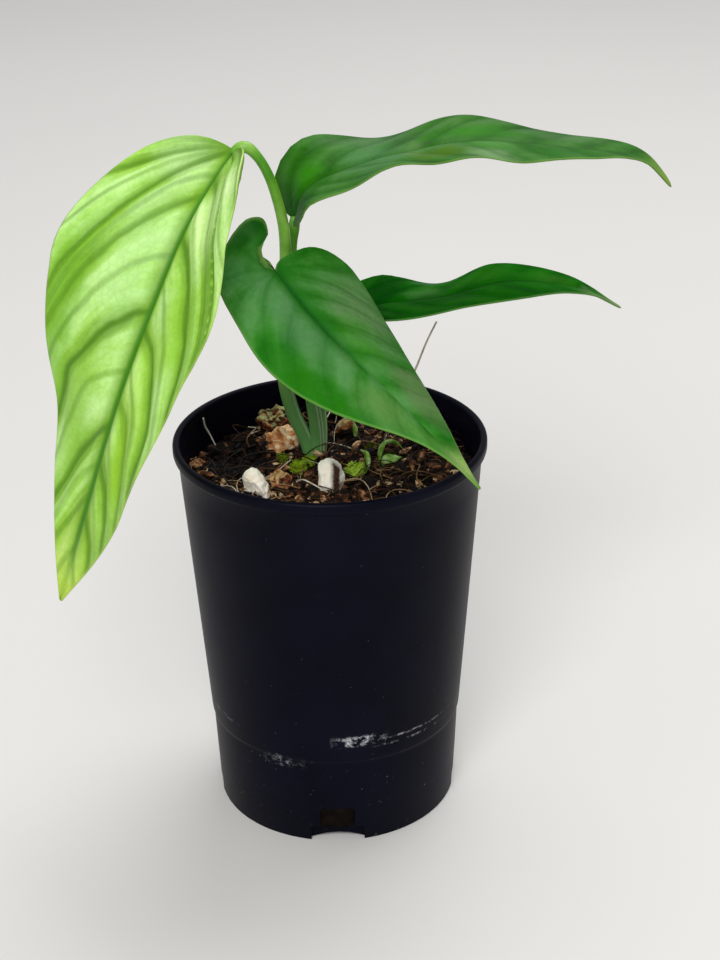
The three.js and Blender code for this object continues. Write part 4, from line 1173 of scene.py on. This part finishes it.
def blade_finish(name, look, constants):
    """Waxy leaf skin: soft patches of greens, some its own and some painted sheen, light and shade,
    deeper as painted shade along the midrib and the side veins, with a faint net of small veins and
    a thin margin that is partly a painted edge highlight."""
    material, tree, shader, place = new_finish(name, constants)
    flat = add(tree, "UVMap", uv_map="blade")
    across = add(tree, "SeparateXYZ", (flat,)).node.outputs
    vein = add(tree, "SeparateXYZ", (add(tree, "UVMap", uv_map="veins"),)).node.outputs
    margin = add(tree, "SeparateXYZ", (add(tree, "UVMap", uv_map="margin"),)).node.outputs

    # Distances in millimetres to the nearest side vein, to the line halfway between two of them,
    # and to the midrib; each side vein has a strength of its own
    wander = add(tree, "TexNoise", (flat, 0.07, 3))
    shifted = add(tree, "Math MULTIPLY_ADD", (wander, 0.16, vein["X"]))
    half = add(tree, "Math ADD", (shifted, 0.42))
    part = add(tree, "Math FRACT", (half,))
    off = add(tree, "Math SUBTRACT", (part, 0.5))
    turns = add(tree, "Math ABSOLUTE", (off,))
    halfway = add(tree, "Math SUBTRACT", (0.5, turns))
    from_vein = add(tree, "Math MULTIPLY", (turns, vein["Y"]))
    from_halfway = add(tree, "Math MULTIPLY", (halfway, vein["Y"]))
    behind = add(tree, "Math MINIMUM", (across["X"], 0))
    from_midrib = add(tree, "VectorMath LENGTH", (add(tree, "CombineXYZ", (behind, across["Y"])),),
                      out="Value")
    number = add(tree, "Math FLOOR", (half,))
    strength = add(tree, "MapRange",
                   (add(tree, "TexWhiteNoise", {"W": number}, noise_dimensions="1D"), 0, 1, 0.55))

    mottle = add(tree, "TexNoise", (place, 1000 / 16, 5, 0.6))
    # Streaks run along the side veins, a few millimetres wide and some centimetres long
    beside = add(tree, "Math MULTIPLY", (shifted, look["streaks"]))
    outwards = add(tree, "Math MULTIPLY", (across["Y"], 0.05))
    lie = add(tree, "CombineXYZ", (beside, outwards))
    streaks = add(tree, "TexNoise", (lie, 1, 4, 0.6))
    streaky = add(tree, "Math MULTIPLY", (streaks, look["streaky"]))
    mottled = add(tree, "Math MULTIPLY", (mottle, 2 - look["streaky"]))
    blotch = add(tree, "Math ADD", (mottled, streaky))
    # Painted light and shade of the quilted blade: each panel is lighter in its middle and deeper
    # green towards the side veins
    panel = add(tree, "MapRange", (from_vein, 0.2, look["panel"]), interpolation_type="SMOOTHSTEP")
    raised = add(tree, "Math MULTIPLY_ADD", (panel, look["contrast"], blotch))
    body = add(tree, "ValToRGB", (add(tree, "Math MULTIPLY", (raised, 0.5)),),
               [(0.42, look["deep"]), (0.5 + 0.2 * look["contrast"], look["middle"]),
                (0.58 + 0.42 * look["contrast"], look["light"])])
    # Patches: soft areas a few centimetres wide, their edges drawn out by about 5 mm. Many of them
    # are painted sheen and painted light, a few painted shade, the rest the leaves' own greens
    drift = add(tree, "TexNoise", (flat, 0.12, 4), out="Color")
    drifted = add(tree, "VectorMath MULTIPLY_ADD", (drift, (10, 10, 0), flat))
    patchy = add(tree, "MapRange", (streaks, 0.32, 0.55, 0.55))
    for along, out, half_length, half_width, colour, most in look["patches"]:
        apart = add(tree, "VectorMath SUBTRACT", (drifted, (along + 5, out + 5, 0)))
        spread = add(tree, "VectorMath MULTIPLY", (apart, (1 / half_length, 1 / half_width, 0)))
        reach = add(tree, "VectorMath LENGTH", (spread,), out="Value")
        soft = add(tree, "MapRange", (reach, 0.25, 1.25, most, 0), interpolation_type="SMOOTHSTEP")
        soft = add(tree, "Math MULTIPLY", (soft, patchy))
        body = add(tree, "Mix", (soft, body, linear(colour)), data_type="RGBA")
    tip = add(tree, "MapRange", (margin["Y"], look["tip_from"], 1), interpolation_type="SMOOTHSTEP")
    body = add(tree, "Mix", (tip, body, linear(look["tip"])), data_type="RGBA")
    # The net of small veins has meshes about 2.5 mm wide
    crooked = add(tree, "TexNoise", (flat, 0.35, 2), out="Color")
    bent_flat = add(tree, "VectorMath MULTIPLY_ADD", (crooked, (2.4, 2.4, 0), flat))
    mesh = add(tree, "TexVoronoi", {"Vector": bent_flat, "Scale": 1 / 2.5},
               feature="DISTANCE_TO_EDGE")
    uneven = add(tree, "MapRange", (streaks, 0.3, 0.6, 0.5))
    # Each mark: the distance that it fades with, where it starts to fade, where it ends, and how
    # much it covers before that
    cover = {}
    for mark, away, start, end, most in (
            ("net", mesh, 0.01, 0.16, look["net"]),
            ("shade", from_vein, 0.2, look["panel"], look["shade"]),
            ("veins", from_vein, 0.2, look["vein_width"], look["vein_cover"]),
            ("small veins", from_halfway, 0.2, 1.6, look["minor_cover"]),
            ("midrib shade", from_midrib, 0.4, 5, look["rib_shade"]),
            ("midrib", from_midrib, 0.3, look["midrib_width"], look["midrib_cover"]),
            ("along", margin["Y"], *look["rib_fade"], 1.0),
            ("margin", margin["X"], 0.15, 0.8, look["margin_cover"])):
        cover[mark] = add(tree, "MapRange", (away, start, end, most, 0),
                          interpolation_type="SMOOTHSTEP")
    for mark, share in (("shade", strength), ("veins", strength),
                        ("midrib shade", cover["along"]), ("midrib", cover["along"])):
        cover[mark] = add(tree, "Math MULTIPLY", (cover[mark], share))
    either = add(tree, "Math MAXIMUM", (cover["veins"], cover["small veins"]))
    cover["veins"] = add(tree, "Math MULTIPLY", (either, uneven))
    # Painted shade: deep green towards the side veins and beside the midrib. The thin margin line
    # is partly painted light: a pale edge highlight on the dark leaves, a darker shaded edge on the
    # young one
    for mark, colour in (("shade", "deep"), ("midrib shade", "deep"), ("veins", "vein"),
                         ("net", "vein"), ("midrib", "midrib"), ("margin", "margin")):
        body = add(tree, "Mix", (cover[mark], body, linear(look[colour])), data_type="RGBA")
    gloss = add(tree, "MapRange",
                (mottle, 0, 1, look["roughness"] - 0.08, look["roughness"] + 0.08))
    skin = add(tree, "TexNoise", (place, 1000 / 0.8, 2))
    lines = add(tree, "Math ADD", (cover["veins"], cover["net"]))
    sunk = add(tree, "Math MULTIPLY_ADD", (lines, -0.8, skin))
    # Puckers about 4 mm wide
    puckers = add(tree, "TexNoise", (bent_flat, 0.28, 2))
    swell = add(tree, "Bump", {"Height": puckers, "Strength": look["pucker"], "Distance": 0.001})
    bump = add(tree, "Bump",
               {"Height": sunk, "Strength": look["bump"], "Distance": 0.0002, "Normal": swell})
    add(tree, shader, {"Base Color": body, "Roughness": gloss, "Normal": bump})
    return material


top_look = {
    "streaks": 2, "streaky": 0.5, "contrast": 0.3, "panel": 5, "pucker": 0.5, "bump": 0.2,
    "shade": 0.15, "rib_shade": 0.5, "rib_fade": (0.45, 0.97), "net": 0.07, "roughness": 0.42,
    "vein_width": 1.0, "vein_cover": 0.3, "minor_cover": 0.05, "midrib_width": 1.1,
    "midrib_cover": 0.6, "margin_cover": 0.5, "tip_from": 0.88}
# Each patch: its middle along and out from the midrib (the far half is negative), its half length
# and half width, its colour and how much it covers. The greyish and whitish patches are painted
# sheen and painted light, and the lower leaf's greens are darkened as painted shade.
looks = {
    # The whitish patches of the young leaf are painted sheen and light shining through the blade
    "leaf_a_young": {
        **top_look, "deep": 0x6A9A20, "middle": 0x9CCE50, "light": 0xBCE48C, "vein": 0x4A7C0C,
        "midrib": 0x3E7A10, "tip": 0xB8D24C, "margin": 0x9FB45A, "tip_from": 0.82,
        "streaks": 6, "streaky": 1, "contrast": 0.35, "pucker": 0.2, "bump": 0.25,
        "shade": 0.55, "rib_shade": 0.9, "rib_fade": (0.8, 1), "net": 0.09, "vein_width": 1.7,
        "vein_cover": 0.95, "minor_cover": 0.5, "midrib_width": 1.7, "midrib_cover": 1.0,
        "patches": [(40, 10, 28, 11, 0xB6E092, 0.6), (7, 13, 9, 14, 0xC8E8A6, 0.7),
                    (21, -15, 14, 10, 0xE0FFAE, 0.9), (9, -24, 9, 9, 0xDCF0B8, 0.6),
                    (58, 29, 34, 8, 0x74B01E, 0.85), (52, -18, 17, 9, 0x8CC02C, 0.75),
                    (72, -8, 20, 8, 0xB0DC48, 0.5), (88, -12, 20, 8, 0x90C020, 0.85),
                    (84, 16, 26, 8, 0x84B834, 0.7), (116, 0, 12, 9, 0xB4D850, 0.7)]},
    # The greyish patches of the upper leaf are painted sheen
    "leaf_b_upper": {
        **top_look, "deep": 0x1A5004, "middle": 0x2C6614, "light": 0x427430, "vein": 0x1A5008,
        "midrib": 0x1E500C, "tip": 0x7C9A38, "margin": 0x6F9140,
        "patches": [(4, 4, 10, 18, 0x0C4C00, 0.95), (11, -3, 6, 11, 0x2C7600, 0.85),
                    (30, 2, 11, 20, 0x487A46, 0.7), (41, 2, 5, 12, 0x668C4C, 0.6),
                    (46, 13, 9, 7, 0x466A06, 0.9), (61, 16, 9, 6, 0x7C9C6C, 0.6),
                    (60, -8, 18, 5, 0x2A7402, 0.9), (30, -19, 14, 7, 0x5C7E54, 0.5),
                    (62, 5, 9, 7, 0x4A8A34, 0.6), (80, 7, 13, 6, 0x1E620C, 0.8),
                    (84, -9, 14, 6, 0x53764A, 0.6)]},
    # The greyish patches of the front leaf are painted sheen
    "leaf_c_front": {
        **top_look, "deep": 0x16600A, "middle": 0x2F7420, "light": 0x4C8442, "vein": 0x185610,
        "midrib": 0x0C4A12, "tip": 0x6C9240, "margin": 0x6F9A48, "rib_fade": (0.2, 0.62),
        "rib_shade": 0.85,
        "patches": [(17, 6, 22, 8, 0x527E50, 0.7), (38, 17, 20, 7, 0x1B6600, 1.0),
                    (22, -15, 17, 10, 0x6C8C5C, 0.75), (53, -10, 14, 8, 0x6A7E52, 0.75),
                    (50, 7, 11, 7, 0x5A8240, 0.75),
                    (-14, 8, 5, 11, 0x075402, 0.85), (-3, 13, 6, 5, 0x4A8648, 0.6),
                    (30, -7, 11, 7, 0x3A8410, 0.5),
                    (66, 5, 10, 6, 0x5C9038, 0.6), (80, 0, 12, 8, 0x9AB064, 0.9)]},
    # The lower leaf's greens are darkened as painted shade from the leaf above it; its greyish
    # patches are painted sheen
    "leaf_d_lower": {
        **top_look, "deep": 0x014200, "middle": 0x0C5A00, "light": 0x1C6408, "vein": 0x033A01,
        "midrib": 0x053E03, "tip": 0x7C9468, "margin": 0x5F8548, "roughness": 0.5,
        "vein_cover": 0.1, "shade": 0.05,
        "patches": [(13, -12, 9, 13, 0x003C00, 0.9), (45, -8, 13, 11, 0x1C6202, 0.8),
                    (33, 4, 10, 9, 0x085002, 0.7), (60, 2, 13, 9, 0x146406, 0.8),
                    (28, -3, 7, 5, 0x3C7232, 0.8),
                    (28, -17, 6, 5, 0x47684C, 0.6), (67, -2, 8, 5, 0x34661C, 0.6),
                    (80, 4, 8, 5, 0x6A8A58, 0.7)]},
}
under_look = {**top_look, "deep": 0x3E6A24, "middle": 0x507C30, "light": 0x608A3C,
              "vein": 0x78A055, "midrib": 0x7FA65A, "tip": 0x6E9040, "margin": 0x5E8440,
              "midrib_width": 2.0, "vein_cover": 0.6, "midrib_cover": 0.9, "roughness": 0.6,
              "patches": []}
young_under_look = {**under_look, "deep": 0x86B048, "middle": 0x9CC05C, "light": 0xACCE70,
                    "vein": 0x84AC48, "midrib": 0x78A040}
soft_skin = {"IOR": 1.4, "Specular IOR Level": 0.3, "Subsurface Weight": 0.3,
             "Subsurface Radius": (0.7, 1.0, 0.25), "Subsurface Scale": 0.0012}
skin = {"IOR": 1.4, "Specular IOR Level": 0.07}
shaded_skin = {"IOR": 1.4, "Specular IOR Level": 0.01}
young_back = blade_finish("soft_young_leaf_underside", young_under_look, soft_skin)
leaf_back = blade_finish("hardened_leaf_underside", under_look, skin)
for name, leaf in leaves.items():
    young = "young" in name
    kind = soft_skin if young else shaded_skin if "lower" in name else skin
    face = blade_finish(name + "_waxy_skin", looks[name], kind)
    made = blade(name + "_blade", leaf, [face, young_back if young else leaf_back])
    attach(made, "root")
    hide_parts(name)

# Dry fibre: one thin wiry strand of husk that stands up out of the mix behind the front leaf, and a
# short thread of it by the wall at the left, both dried pale, the thread the paler one.
strand_radii = [0.42, 0.38, 0.3]
thread_radii = [0.3, 0.32, 0.22]
strand_line = [(14.2, 25, 97), (17.6, 25, 107), (20.8, 25.2, 115.4), (26.1, 25, 127.9),
               (29.3, 25.2, 136.2), (32.4, 25, 143)]
thread_line = [(-38.2, 18.6, 115.8), (-37.8, 19.2, 112.8), (-36.6, 20.6, 109.4), (-35, 20, 106)]
vertices, faces, _ = tube(strand_line, strand_radii, 8, 40)
strand = piece("dry_fibre_strand", vertices, faces, [coir])
toned(strand, [len(vertices)], [1.0])
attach(strand, "root")
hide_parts("dry_fibre")
vertices, faces, _ = tube(thread_line, thread_radii, 6, 24)
thread = piece("dry_fibre_thread", vertices, faces, [coir])
toned(thread, [len(vertices)], [1.5])
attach(thread, "root")
